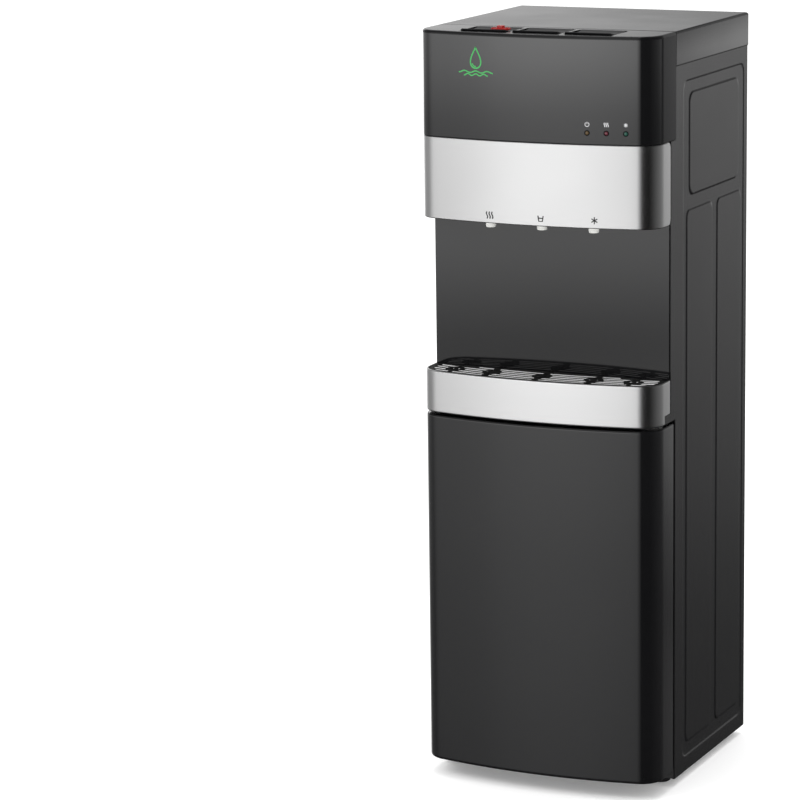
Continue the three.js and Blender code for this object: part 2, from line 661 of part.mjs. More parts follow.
function addTaps() {
  add("paddle_rod", alongX([-124, 124], PIVOT.y, PIVOT.z, PIVOT.radius, 10), bareSteel);
  TAPS.forEach((tap, index) => {
    const x = (index - 1) * TAP_PITCH;
    add(`${tap}_paddle`, paddle(), blackGloss, [x, PIVOT.y, PIVOT.z]);
    add(`${tap}_spout`, spout(), whitePlastic, [x, TAP_Y, BAND_BOTTOM]);
    add(`${tap}_valve`, valve(), whitePlastic, [x, TAP_Y, BAND_BOTTOM + 12 + GAP]);
  });
  add("hot_lock", lockCatch(), redPlastic, [-TAP_PITCH + 18, PADDLE.front + 20, HEIGHT + 0.9]);
}

function addDripTray() {
  add("tray_front", trayFront(), silver);
  add("tray_pan", trayPan(), blackMatt);
  add("drip_grille", dripGrille(), bareSteel);
}

function addDoor() {
  add("door_outer", doorOuter(), blackGloss);
  add("door_inner", doorInner(), blackMatt);
  add("hinge_pin_upper", upright(HINGE_X, HINGE_Y, [505, SHELF_TOP - 4], HINGE_PIN_RADIUS, 16), bareSteel);
  add("strike_plate", box([165, 175.5], [DOOR_BACK - 0.2, DOOR_SEAT - 0.4], [282, 318]), bareSteel);
  add("hinge_bracket_lower", lowerHinge(), bareSteel);
  add("door_magnet", box([168, 177], [DOOR_SEAT + 0.2, DOOR_SEAT + 4.6], [279.5, 320.5]), blackMatt);
}

function addCompartment() {
  add("bottle_tray", bottleTray(), blackMatt);
  add("condenser", condenser(), blackMatt);
  add("condenser_frame", condenserFrame(), blackSteel);
  const probe = new THREE.Group();
  probe.position.set(PROBE.x, PROBE.y, 0);
  dispenser.add(probe);
  add("probe_cap", probeCap(), whitePlastic, [0, 0, CAP_LOW], probe);
  add("probe_collar", probeCollar(), tealPlastic, [0, 0, PROBE.rest + GAP], probe);
  add("dip_tube", dipTube(), whitePlastic, [0, 0, 0], probe);
  add("probe_elbow", probeElbow(), whitePlastic, [0, 0, 0], probe);
  add("probe_hanger", probeHanger(), blackMatt);
  add("pump_bracket", pumpBracket(), blackSteel);
  add("pump", pump(), blackMatt);
  add("suction_hose", hose(), clearHose);
  add("hose_hanger", hoseHanger(), blackMatt);
}

function addPlant() {
  add("compressor", compressor(), blackMatt, [92, 100, 0]);
  add("hot_tank", hotTank(), bareSteel, [-95, 95, 0]);
  add("cold_tank", coldTank(), foam, [0, 70, 0]);
  add("control_box", controlBox(), blackMatt);
}

function rocker() {
  const side = new THREE.Shape();
  side.moveTo(-4, -12);
  side.lineTo(-4, 12);
  side.lineTo(0.5, 12.5);
  side.lineTo(2.5, 0);
  side.lineTo(4.5, -12.5);
  return across(side, [-7.5, 7.5]);
}

function switchPlate() {
  let plate = box([ROCKER_X[0] - 15, ROCKER_X[1] + 15], [GAP, 2], [-20, 20]);
  for (const x of ROCKER_X) {
    plate = plate
      .add(box([x - 9, x + 9], [-14, GAP + 0.1], [-14, 14]))
      .subtract(box([x - 8, x + 8], [-9, 3], [-13.5, 13.5]));
  }
  return plate;
}

function powerInlet() {
  return box([-17, 17], [GAP, 2.5], [-14, 14])
    .add(box([-14.5, 14.5], [-20, GAP + 0.1], [-11.5, 11.5]))
    .subtract(box([-12, 12], [-16, 3], [-8.5, 8.5]))
    .add(box([-1, 1], [-17, -2], [-1, 5]));
}

function drainCap() {
  return alongY(0, [GAP, 14], 0, 13, 12).add(alongY(0, [-3, GAP + 0.1], 0, DRAIN.radius - 0.5, 16));
}

function addRear() {
  const names = ["heating", "cooling"];
  names.forEach((name, index) => {
    add(`${name}_rocker`, rocker(), redPlastic, [ROCKER_X[index], REAR_FACE, SWITCH_Z]);
  });
  add("switch_plate", switchPlate(), blackMatt, [0, REAR_FACE, SWITCH_Z]);
  add("power_inlet", powerInlet(), blackMatt, [INLET.x, REAR_FACE, INLET.z]);
  add("drain_cap", drainCap(), blackMatt, [DRAIN.x, REAR_FACE, DRAIN.z]);
}

addCabinet();
addTaps();
addDripTray();
addDoor();
addCompartment();
addPlant();
addRear();

export default dispenser;
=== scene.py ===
"""A floor-standing bottom-loading water dispenser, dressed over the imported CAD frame.

Metres, +Z up, front towards -Y, origin on the floor under the middle of the body.
"""

import json
import math

import bmesh
import bpy
from mathutils import Matrix, Vector


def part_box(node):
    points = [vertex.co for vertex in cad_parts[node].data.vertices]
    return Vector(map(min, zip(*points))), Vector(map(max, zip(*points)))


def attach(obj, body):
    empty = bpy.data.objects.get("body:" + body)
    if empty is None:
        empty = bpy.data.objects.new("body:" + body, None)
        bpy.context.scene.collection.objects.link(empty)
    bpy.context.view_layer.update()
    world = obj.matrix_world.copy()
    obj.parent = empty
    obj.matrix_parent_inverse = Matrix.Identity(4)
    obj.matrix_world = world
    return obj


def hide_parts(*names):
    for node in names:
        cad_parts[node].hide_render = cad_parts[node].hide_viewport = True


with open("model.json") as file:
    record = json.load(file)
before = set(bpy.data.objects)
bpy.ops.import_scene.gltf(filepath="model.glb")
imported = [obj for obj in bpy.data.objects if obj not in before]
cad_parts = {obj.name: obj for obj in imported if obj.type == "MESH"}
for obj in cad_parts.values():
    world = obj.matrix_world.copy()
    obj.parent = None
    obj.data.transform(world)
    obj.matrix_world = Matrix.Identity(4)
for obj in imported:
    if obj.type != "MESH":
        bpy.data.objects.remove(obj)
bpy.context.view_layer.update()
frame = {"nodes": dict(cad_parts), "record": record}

NODES = frame["nodes"]
MM = 0.001


def low(node):
    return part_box(node)[0]


def high(node):
    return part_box(node)[1]


# ---- Shared dimensions ----
HALF = high("head_shell").x
FRONT = low("head_shell").y
DECK = 1.085
SAGITTA = 0.021
CORNER = 0.034
BOW_RADIUS = (HALF**2 + SAGITTA**2) / (2 * SAGITTA)
BOW_Y = FRONT + BOW_RADIUS
CORNER_X = HALF - CORNER
CORNER_Y = BOW_Y - math.sqrt((BOW_RADIUS - CORNER) ** 2 - CORNER_X**2)
CORNER_TURN = math.atan2(CORNER_X, BOW_Y - CORNER_Y)
CABINET_FRONT = low("top_cover").y
SKIRT_BOTTOM = 1.036  # just under the top cover's skirt
TAPS = ("hot", "warm", "cold")
ROCKER_X = {"heating": -0.062, "cooling": -0.022}
TAP_X = (-0.078, 0.0, 0.078)


# ---- Outlines ----
def arc(cu, cv, radius, first, last, steps):
    """Points on an arc, both ends included. Angles in radians."""
    turns = [first + (last - first) * k / steps for k in range(steps + 1)]
    return [(cu + radius * math.cos(a), cv + radius * math.sin(a)) for a in turns]


def circle(u, v, radius, sides=24):
    return arc(u, v, radius, 0, 2 * math.pi, sides)[:-1]


def rounded_rectangle(u0, u1, v0, v1, radius, steps=5):
    centres = ((u1 - radius, v0 + radius), (u1 - radius, v1 - radius), (u0 + radius, v1 - radius))
    points = []
    for quarter, (cu, cv) in enumerate((*centres, (u0 + radius, v0 + radius))):
        first = (quarter - 1) * math.pi / 2
        points += arc(cu, cv, radius, first, first + math.pi / 2, steps)
    return points


def bow_path(inset, back, steps=36, corner_steps=12):
    """The bowed front's plan from its left back end to its right back end."""
    radius = CORNER - inset
    ahead = -math.pi / 2
    left = arc(-CORNER_X, CORNER_Y, radius, -math.pi, ahead - CORNER_TURN, corner_steps)
    face = arc(0, BOW_Y, BOW_RADIUS - inset, ahead - CORNER_TURN, ahead + CORNER_TURN, steps)[1:-1]
    right = arc(CORNER_X, CORNER_Y, radius, ahead + CORNER_TURN, 0, corner_steps)
    return [(-HALF + inset, back), *left, *face, *right, (HALF - inset, back)]


def bow_face(x):
    """y of the bowed face at x."""
    return BOW_Y - math.sqrt(BOW_RADIUS**2 - x**2)


# ---- Mesh building ----
def eased_box(size, bevel, segments):
    """A box about the origin, with rounded edges."""
    bm = bmesh.new()
    bmesh.ops.create_cube(bm, size=1.0)
    bmesh.ops.transform(bm, matrix=Matrix.Diagonal((*size, 1.0)), verts=bm.verts)
    if bevel:
        bmesh.ops.bevel(bm, geom=bm.edges[:], offset=bevel, segments=segments, profile=0.5, affect="EDGES")
    return bm


class Shape:
    """Collects vertices and faces, then becomes one object."""

    def __init__(self):
        self.verts = []
        self.faces = []

    def skin(self, loops, caps=(True, True)):
        """Joins rings of equal length with quads, and closes the ends."""
        start = len(self.verts)
        count = len(loops[0])
        for loop in loops:
            self.verts.extend(Vector(p) for p in loop)
        last = start + (len(loops) - 1) * count
        for a in range(start, last, count):
            b = a + count
            for i in range(count):
                j = (i + 1) % count
                self.faces.append((a + i, a + j, b + j, b + i))
        if caps[0]:
            self.faces.append(tuple(start + i for i in reversed(range(count))))
        if caps[1]:
            self.faces.append(tuple(last + i for i in range(count)))
        return self

    def absorb(self, bm, offset, matrix=Matrix.Identity(4)):
        start = len(self.verts)
        bm.verts.index_update()
        self.verts += [matrix @ v.co + Vector(offset) for v in bm.verts]
        self.faces += [tuple(start + v.index for v in f.verts) for f in bm.faces]
        bm.free()
        return self

    def block(self, lo, hi, bevel=0.0, segments=2):
        lo, hi = Vector(lo), Vector(hi)
        return self.absorb(eased_box(hi - lo, bevel, segments), (lo + hi) / 2)

    def bars_round(self, count, size, bevel, segments, axis, radius, centre):
        """Equal bars with rounded edges, set in a ring round an axis through centre."""
        for k in range(count):
            turn = Matrix.Rotation(2 * math.pi * k / count, 4, axis) @ Matrix.Translation((radius, 0, 0))
            self.absorb(eased_box(size, bevel, segments), centre, turn)
        return self

    def lathe(self, profile, centre, axis="Z", sides=32):
        """Turns (radius, height) points in mm round an axis through centre. Ends on the axis are closed."""
        order = {"X": (2, 0, 1), "Y": (0, 2, 1), "Z": (0, 1, 2)}[axis]
        loops = []
        for radius, height in profile:
            ring = [(u, v, height * MM) for u, v in circle(0, 0, radius * MM, sides)]
            loops.append([Vector(centre) + Vector([p[i] for i in order]) for p in ring])
        return self.skin(loops)

    def tube(self, points, radius, sides=10):
        """A round tube along points, turned as little as possible from one point to the next."""
        points = [Vector(p) for p in points]
        count = len(points)
        tangents = []
        for i in range(count):
            before = points[max(i - 1, 0)]
            after = points[min(i + 1, count - 1)]
            tangents.append((after - before).normalized())
        side = tangents[0].orthogonal().normalized()
        loops = []
        for point, tangent in zip(points, tangents):
            side = (side - tangent * side.dot(tangent)).normalized()
            other = tangent.cross(side)
            loops.append([point + side * u + other * v for u, v in circle(0, 0, radius, sides)])
        return self.skin(loops)

    def build(self, name, material, angle=32.0):
        mesh = bpy.data.meshes.new(name)
        mesh.from_pydata([tuple(v) for v in self.verts], [], self.faces)
        return finish_mesh(name, mesh, material, angle)


def finish_mesh(name, mesh, material, angle=32.0):
    bm = bmesh.new()
    bm.from_mesh(mesh)
    bmesh.ops.remove_doubles(bm, verts=bm.verts, dist=1e-6)
    bmesh.ops.dissolve_degenerate(bm, edges=bm.edges, dist=1e-7)
    bmesh.ops.recalc_face_normals(bm, faces=bm.faces)
    bm.to_mesh(mesh)
    bm.free()
    mesh.shade_smooth()
    mesh.set_sharp_from_angle(angle=math.radians(angle))
    mesh.materials.clear()
    mesh.materials.append(material)
    obj = bpy.data.objects.new(name, mesh)
    bpy.context.scene.collection.objects.link(obj)
    return obj


def evaluated(obj):
    """The object's mesh with its modifiers or curve settings applied."""
    depsgraph = bpy.context.evaluated_depsgraph_get()
    return bpy.data.meshes.new_from_object(obj.evaluated_get(depsgraph))


def cut(obj, *tools):
    """Cuts the tools out of obj, and removes the tools."""
    material = obj.data.materials[0]
    for tool in tools:
        modifier = obj.modifiers.new("cut", "BOOLEAN")
        modifier.operation = "DIFFERENCE"
        modifier.object = tool
        modifier.solver = "EXACT"
    mesh = evaluated(obj)
    name = obj.name
    for gone in (obj, *tools):
        bpy.data.objects.remove(gone)
    return finish_mesh(name, mesh, material)


def plate(name, outline, holes, thickness, edge, place, material):
    """A flat plate with holes and rounded edges. Outlines are (u, v) lists; place maps (u, v, depth)."""
    curve = bpy.data.curves.new(name, "CURVE")
    curve.dimensions = "2D"
    curve.fill_mode = "BOTH"
    curve.extrude = thickness / 2 - edge
    curve.bevel_depth = edge
    curve.bevel_resolution = 1
    curve.offset = -edge
    for points in (outline, *holes):
        spline = curve.splines.new("POLY")
        spline.points.add(len(points) - 1)
        for target, (u, v) in zip(spline.points, points):
            target.co = (u, v, 0, 1)
        spline.use_cyclic_u = True
    obj = bpy.data.objects.new(name, curve)
    bpy.context.scene.collection.objects.link(obj)
    mesh = evaluated(obj)
    bpy.data.objects.remove(obj)
    for v in mesh.vertices:
        v.co = Vector(place(v.co.x, v.co.y, v.co.z))
    return finish_mesh(name, mesh, material, angle=20.0)


def edge_stations(z0, z1, lower, upper, steps=4):
    """(inset, z) stations of an upright face whose lower and upper edges are rounded."""
    def rounding(radius, z, up):
        if not radius:
            return [(0.0, z)]
        bend = [(u, z + up * v) for u, v in arc(radius, radius, radius, -math.pi / 2, -math.pi, steps)]
        return [(radius + 0.4 * MM, z), *bend, (0.0, z + up * (radius + MM))]

    return rounding(lower, z0, 1) + rounding(upper, z1, -1)[::-1]


def bow_solid(name, z0, z1, back, material, inset=0.0, lower=0.0, upper=0.0):
    """A solid block with the bowed plan and rounded lower and upper edges."""
    loops = []
    for i, z in edge_stations(z0, z1, lower, upper):
        loops.append([(x, y, z) for x, y in bow_path(inset + i, back)])
    return Shape().skin(loops).build(name, material)


def bow_wall(name, z0, z1, back_at, material, thickness=2.5 * MM, lower=0.0, upper=0.0, extra=()):
    """An upright bowed wall, open at the back, top and bottom. back_at(z) is y of its two ends."""
    stations = edge_stations(z0, z1, lower, upper)
    stations += [(0.0, z) for z in extra]
    stations.sort(key=lambda s: s[1])
    loops = []
    for i, z in stations:
        outer = [(x, y, z) for x, y in bow_path(min(i, thickness * 0.8), back_at(z))]
        inner = [(x, y, z) for x, y in bow_path(thickness, back_at(z))]
        loops.append(outer + inner[::-1])
    return Shape().skin(loops).build(name, material)


# ---- Materials ----
def fill(tree, target, inputs):
    """Links or sets the inputs of a node."""
    for key, value in inputs.items():
        if isinstance(value, bpy.types.NodeSocket):
            tree.links.new(value, target.inputs[key])
        else:
            target.inputs[key].default_value = value


def add_node(tree, kind, inputs=None, **settings):
    added = tree.nodes.new("ShaderNode" + kind)
    for key, value in settings.items():
        setattr(added, key, value)
    fill(tree, added, inputs or {})
    return added


def node_material(name):
    material = bpy.data.materials.new(name)
    material.use_nodes = True
    tree = material.node_tree
    return material, tree, tree.nodes["Principled BSDF"], add_node(tree, "TexCoord").outputs["Object"]


def noise(tree, vector, scale, detail=3.0):
    return add_node(tree, "TexNoise", {"Vector": vector, "Scale": scale, "Detail": detail}).outputs["Fac"]


def spread(tree, value, low_to, high_to, low_from=0.25, high_from=0.75, smooth=True):
    """Maps a value from one range to another."""
    inputs = {"Value": value, "From Min": low_from, "From Max": high_from}
    inputs |= {"To Min": low_to, "To Max": high_to}
    kind = "SMOOTHSTEP" if smooth else "LINEAR"
    return add_node(tree, "MapRange", inputs, interpolation_type=kind).outputs["Result"]


def blend_colors(tree, factor, first, second):
    inputs = {"Factor": factor, "A": (*first, 1), "B": (*second, 1)}
    return add_node(tree, "Mix", inputs, data_type="RGBA").outputs["Result"]


def grey(level):
    return (level, level, level)


def surface(name, color, rough, metal=0.0, coat=0.0, coat_rough=0.12, coat_ior=1.5, grain=(900, 0.05),
            mottle=(20, 0.1), rough_swing=0.05, specular=0.5, stretch=(1, 1, 1), glow=None):
    """A moulded, painted or metal surface: fine grain in the bump, slow mottling in colour and roughness.

    Grain and mottle are each a noise scale and a strength."""
    material, tree, shader, coords = node_material(name)
    stretched = add_node(tree, "Mapping", {"Vector": coords, "Scale": stretch}).outputs["Vector"]
    fine = noise(tree, stretched, grain[0], 4.0)
    slow = noise(tree, coords, mottle[0])
    dark = [c * (1 - mottle[1]) for c in color]
    light = [min(c * (1 + mottle[1]), 1.0) for c in color]
    bump = add_node(tree, "Bump", {"Height": fine, "Strength": grain[1], "Distance": 0.2 * MM})
    fill(tree, shader, {
        "Base Color": blend_colors(tree, spread(tree, slow, 0, 1), dark, light),
        "Roughness": spread(tree, slow, rough - rough_swing, rough + rough_swing),
        "Normal": bump.outputs["Normal"],
        "Metallic": metal,
        "Coat Weight": coat,
        "Coat Roughness": coat_rough,
        "Coat IOR": coat_ior,
        "Specular IOR Level": specular,
    })
    if glow:
        fill(tree, shader, {"Emission Color": (*glow[0], 1), "Emission Strength": glow[1]})
    return material


INK = (0.005, 0.005, 0.0055)
POLISHED = {"coat": 1.0, "coat_rough": 0.03}
SPRAYED = {"grain": (1100, 0.06), "mottle": (7, 0.06), "rough_swing": 0.02}
METALLIC = {"metal": 1.0, "grain": (2600, 0.02), "mottle": (6, 0.012), "rough_swing": 0.015}
PRINTED = {"grain": (1500, 0.08), "mottle": (40, 0.05)}
GLOSS = surface("black_gloss", INK, 0.14, **POLISHED, grain=(420, 0.01), mottle=(5, 0.06), rough_swing=0.03,
                specular=0.3)
BAY = surface("bay_gloss", INK, 0.2, coat=1.0, coat_rough=0.06, coat_ior=1.56, grain=(600, 0.01),
              mottle=(5, 0.06), rough_swing=0.03, specular=0.03)
HEAD_END = surface("end_gloss", INK, 0.2, grain=(420, 0.01), mottle=(5, 0.06), specular=0.1)
KEY = surface("key_gloss", (0.008, 0.008, 0.009), 0.42, grain=(900, 0.01), mottle=(14, 0.06),
              rough_swing=0.03, specular=0.3)
MATT = surface("black_matt", grey(0.014), 0.58, grain=(1500, 0.25), mottle=(20, 0.12))
PAINT = surface("painted_steel", (0.006, 0.006, 0.0065), 0.25, **SPRAYED)
COVER = surface("cover_paint", (0.009, 0.009, 0.0095), 0.22, **SPRAYED)
SILVER = surface("silver_paint", grey(0.82), 0.29, **METALLIC)
TRAY_SILVER = surface("tray_silver", grey(0.94), 0.29, **METALLIC)
# Light grey for the thin strips on the grille bars: a painted highlight standing in for the shine of the
# bars.
BAR_HIGHLIGHT = surface("grille_bar", grey(0.93), 0.35, mottle=(40, 0.05))
# Near-black for the lamp bezels, and painted shade on the frame behind the door, where the gaps round the
# door fall in shadow.
SHADE = surface("black_and_painted_shade", grey(0.003), 0.65, grain=(900, 0.1), specular=0.12)
STEEL = surface("brushed_steel", (0.58, 0.58, 0.59), 0.27, metal=1.0, grain=(160, 0.10), mottle=(9, 0.1),
                stretch=(1, 14, 14))
ZINC = surface("zinc_plate", (0.50, 0.51, 0.52), 0.38, metal=1.0, grain=(500, 0.12), mottle=(60, 0.10))
WHITE = surface("white_plastic", (0.78, 0.78, 0.75), 0.36, mottle=(20, 0.03))
RED = surface("red_plastic", (0.30, 0.010, 0.008), 0.30, mottle=(20, 0.08), coat=0.4)
TEAL = surface("teal_plastic", (0.01, 0.26, 0.32), 0.32, mottle=(20, 0.08))
FOAM = surface("foam", (0.72, 0.71, 0.66), 0.85, grain=(260, 0.7), mottle=(30, 0.06))
RUBBER = surface("rubber", grey(0.010), 0.80, grain=(1400, 0.3), mottle=(30, 0.15))
HOSE = surface("silicone", (0.42, 0.45, 0.46), 0.35, grain=(500, 0.05), mottle=(12, 0.05), coat=0.3)
ENAMEL = surface("black_enamel", grey(0.012), 0.40, grain=(500, 0.2), mottle=(30, 0.2))
MARK = surface("green_print", (0.05, 0.36, 0.09), 0.5, **PRINTED)
ICON = surface("grey_print", (0.62, 0.62, 0.63), 0.5, **PRINTED)
DARK_PRINT = surface("dark_print", (0.012, 0.012, 0.013), 0.6, **PRINTED)


def lamp_lens(name, color, glow, strength):
    return surface(name, color, 0.12, **POLISHED, grain=(700, 0.1), mottle=(9, 0.1), glow=(glow, strength))


LENSES = {
    "power_lamp": lamp_lens("amber_lens", (0.055, 0.033, 0.012), (1.0, 0.62, 0.22), 0.02),
    "heating_lamp": lamp_lens("red_lens", (0.07, 0.010, 0.018), (1.0, 0.16, 0.20), 0.02),
    "cooling_lamp": lamp_lens("green_lens", (0.008, 0.05, 0.036), (0.16, 1.0, 0.60), 0.014),
}
SLOT_OF = {s["node"]: s["material_slot"] for s in frame["record"]["subparts"]}


def mount(obj, body, *nodes, slot=None):
    """The piece rides on a body and stands for CAD nodes, which are hidden."""
    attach(obj, body)
    if nodes:
        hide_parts(*nodes)
    slot = slot or (SLOT_OF[nodes[0]] if nodes else None)
    return obj


def dress(material, *nodes):
    """A CAD node keeps its shape and gets a finished material."""
    for node in nodes:
        for material_slot in NODES[node].material_slots:
            material_slot.material = material


# ---- Head ----
PADDLE = {"half": 0.034, "front": -0.172, "back": -0.112, "low": 1.076}
WELL_GAP = 1.2 * MM
LAMP_X = {node: (low(node).x + high(node).x) / 2 for node in LENSES}
LAMP_Z = (low("power_lamp").z + high("power_lamp").z) / 2


def make_head():
    z0 = low("head_shell").z
    back = high("head_shell").y - 0.8 * MM
    head = bow_solid("head", z0, DECK, back, GLOSS, lower=0.8 * MM, upper=4 * MM)
    hollow = bow_solid("head_hollow", z0 - 0.01, DECK - 3 * MM, back + 0.01, GLOSS, inset=3 * MM)
    tools = [hollow]
    for x in TAP_X:
        half = PADDLE["half"] + 2.2 * WELL_GAP
        lo = (x - half, PADDLE["front"] - WELL_GAP, DECK - 0.01)
        hi = (x + half, PADDLE["back"] + WELL_GAP, DECK + 0.01)
        tools.append(Shape().block(lo, hi, 2.2 * MM, 2).build("well", GLOSS))
    head = cut(head, *tools)
    head.data.materials.append(COVER)
    head.data.materials.append(HEAD_END)
    for face in head.data.polygons:
        if face.normal.z > 0.97 and face.center.z > DECK - 0.3 * MM:
            face.material_index = 1
        elif abs(face.normal.x) > 0.985 and abs(face.center.x) > HALF - MM:
            face.material_index = 2
    mount(head, "cabinet", "head_shell")


def make_well_linings():
    """Dark shallow trays under the keys, so that no light comes up through the wells."""
    shape = Shape()
    for x in TAP_X:
        half = PADDLE["half"] + 4 * MM
        y0, y1 = PADDLE["front"] - 2.5 * MM, PADDLE["back"] + 2.5 * MM
        z1 = DECK - 3.2 * MM
        z0 = z1 - 0.015
        walls = ((x - half, x - half + MM, y0, y1), (x + half - MM, x + half, y0, y1))
        walls += ((x - half, x + half, y0, y0 + MM),)
        for a, b, c, d in walls:
            shape.block((a, c, z0), (b, d, z1))
    mount(shape.build("well_linings", MATT), "cabinet", slot="black_matt")


def make_lamps():
    for node, x in LAMP_X.items():
        turn = Matrix.Rotation(math.asin(x / BOW_RADIUS), 3, "Z")
        seat = Vector((x, bow_face(x), LAMP_Z))
        bezel = Shape()
        ring = ((2.7, 0.5), (2.7, -0.3), (3.0, -0.6), (3.5, -0.55), (3.9, -0.1), (3.9, 0.5), (2.7, 0.5))
        bezel.lathe(ring, (0, 0, 0), "Y", 28)
        dome = ((0.02, -0.55), (1.0, -0.5), (1.9, -0.3), (2.6, 0.0), (2.6, 2.4), (0.02, 2.4))
        lens = Shape().lathe(dome, (0, 0, 0), "Y", 24)
        for shape in (bezel, lens):
            shape.verts = [turn @ v + seat for v in shape.verts]
        mount(bezel.build(node + "_bezel", SHADE), "cabinet", slot="black_matt")
        mount(lens.build(node + "_lens", LENSES[node]), "cabinet", node)


def stroke(shape, points, width, place, depth=0.15 * MM, closed=False):
    """A flat printed line of even width, through (u, v) points, laid on a surface by place(u, v, depth)."""
    points = [Vector((*p, 0)) for p in points]
    count = len(points)
    sides = ([], [])
    for i in range(count):
        before = points[i - 1] if closed or i else points[0]
        after = points[(i + 1) % count] if closed or i < count - 1 else points[-1]
        along = (after - before).normalized()
        across = Vector((-along.y, along.x, 0)) * width / 2
        sides[0].append(points[i] + across)
        sides[1].append(points[i] - across)
    rows = []
    for side, level in ((0, 0.0), (0, depth), (1, depth), (1, 0.0)):
        rows.append([Vector(place(p.x, p.y, level)) for p in sides[side]])
    loops = [list(r) for r in zip(*rows)]
    if closed:
        shape.skin(loops + [loops[0]], caps=(False, False))
    else:
        shape.skin(loops)


def on_bow(x0, z0):
    """Maps (u, v, depth) onto the bowed face round (x0, z0), standing proud by depth."""
    def place(u, v, depth):
        x = x0 + u
        return (x, bow_face(x) - depth + 0.05 * MM, z0 + v)
    return place


def wave(u, v0, v1, swing, steps=10):
    turns = [k / steps for k in range(steps + 1)]
    return [(u + swing * math.sin(2 * math.pi * t), v0 + (v1 - v0) * t) for t in turns]


def power_sign(shape, place, r):
    stroke(shape, arc(0, 0, r, math.radians(120), math.radians(420), 20), r * 0.28, place)
    stroke(shape, [(0, 0.1 * r), (0, 1.25 * r)], r * 0.28, place)


def heat_sign(shape, place, r):
    for u in (-0.85 * r, 0, 0.85 * r):
        stroke(shape, wave(u, -r, r, 0.2 * r), r * 0.36, place)


def snow_sign(shape, place, r):
    for k in range(3):
        a = math.radians(60 * k + 90)
        du, dv = r * math.cos(a), r * math.sin(a)
        stroke(shape, [(-du, -dv), (du, dv)], r * 0.3, place)


def cup_sign(shape, place, r):
    outline = [(-0.8 * r, 0.7 * r), (-0.55 * r, -0.9 * r), (0.55 * r, -0.9 * r), (0.8 * r, 0.7 * r)]
    stroke(shape, outline, r * 0.34, place)
    stroke(shape, [(-0.7 * r, 0.0), (0.7 * r, 0.0)], r * 0.3, place)


def make_signs():
    icons = Shape()
    for x, sign in zip(LAMP_X.values(), (power_sign, heat_sign, snow_sign)):
        sign(icons, on_bow(x, LAMP_Z + 0.0118), 2.9 * MM)
    mount(icons.build("lamp_signs", ICON), "cabinet", slot="white_plastic")
    labels = Shape()
    for x, sign in zip(TAP_X, (heat_sign, cup_sign, snow_sign)):
        sign(labels, on_bow(x + 0.016, 0.8315), 4.9 * MM)
    mount(labels.build("tap_signs", DARK_PRINT), "cabinet", slot="black_matt")


def make_mark():
    """A plain water drop over three ripples, in green print."""
    shape = Shape()
    place = on_bow(-0.082, 1.046)
    drop = []
    for k in range(48):
        a = 2 * math.pi * k / 48
        swell = math.sin(a / 2) ** 1.4
        drop.append((0.0115 * math.sin(a) * swell, 0.0145 * math.cos(a) + 0.004))
    stroke(shape, drop, 2.0 * MM, place, closed=True)
    stroke(shape, arc(0, -0.0025, 0.0056, math.radians(195), math.radians(275), 10), 1.6 * MM, place)
    for v, reach in ((-0.0155, 0.027), (-0.0195, 0.019)):
        ripple = [(reach * t / 12, v + 0.0013 * math.cos(math.pi * t / 4)) for t in range(-12, 13)]
        stroke(shape, ripple, 1.7 * MM, place)
    mount(shape.build("drop_mark", MARK), "cabinet", slot="green_lens")


# ---- Band, bay and spouts ----
def rounded_back(z0, z1, back, radius):
    def back_at(z):
        reach = min(z - z0, z1 - z)
        if reach >= radius:
            return back
        return back - radius + math.sqrt(max(radius**2 - (radius - reach) ** 2, 0.0))
    return back_at


def make_band():
    z0, z1 = low("silver_band").z, high("silver_band").z
    radius = 9 * MM
    back_at = rounded_back(z0, z1, high("silver_band").y, radius)
    extra = [z0 + radius * k / 8 for k in range(1, 9)] + [z1 - radius * k / 8 for k in range(1, 9)]
    band = bow_wall("tap_band", z0, z1, back_at, SILVER, lower=1.4 * MM, upper=1.2 * MM, extra=extra)
    mount(band, "cabinet", "silver_band")


def make_bay():
    panel = Shape().block(*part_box("bay_panel")).build("bay_back", BAY)
    mount(panel, "cabinet", "bay_panel")


def make_spouts():
    profile = ((4.4, 0.6), (5.2, 0.0), (6.4, 0.0), (7.1, 0.8), (7.5, 5.5), (7.9, 6.5), (7.9, 23.2),
               (4.4, 23.2), (4.4, 0.6))
    for tap, x in zip(TAPS, TAP_X):
        lo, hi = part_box(f"{tap}_spout")
        spout = Shape().lathe(profile, (x, (lo.y + hi.y) / 2, lo.z), sides=40)
        mount(spout.build(f"{tap}_nozzle", WHITE), "cabinet", f"{tap}_spout")


# ---- Keys ----
def key_top(t):
    """(y, z) of the dished top of a key, t from 0 at its back to 1 at its front."""
    back = (PADDLE["back"], DECK + 0.5 * MM)
    middle = ((PADDLE["back"] + PADDLE["front"]) / 2, DECK - 4.5 * MM)
    front = (PADDLE["front"] + 2.5 * MM, DECK + 2.9 * MM)
    a, b, c = (1 - t) ** 2, 2 * t * (1 - t), t**2
    return tuple(a * p + b * q + c * r for p, q, r in zip(back, middle, front))


def make_keys():
    front, floor = PADDLE["front"], PADDLE["low"]
    stations = [(PADDLE["back"], floor + 1e-4)] + [key_top(k / 16) for k in range(17)]
    lip = ((0.9, 2.8), (0.2, 2.3), (0.0, 1.7), (3.2, -3.0))
    stations += [(front + back * MM, DECK + rise * MM) for back, rise in lip] + [(front + 3.2 * MM, floor)]
    side_drop, side_pull = 0.9 * MM, 1.2 * MM
    for tap, x in zip(TAPS, TAP_X):
        sections = []
        for side, pull in ((-1, 0.0), (-1, 1.0), (1, 1.0), (1, 0.0)):
            drop = 0.0 if pull else side_drop
            u = x + side * (PADDLE["half"] - pull * side_pull)
            sections.append([(u, y, max(z - drop, floor)) for y, z in stations])
        mount(Shape().skin(sections).build(f"{tap}_key", KEY), f"{tap}_paddle_body", f"{tap}_paddle")


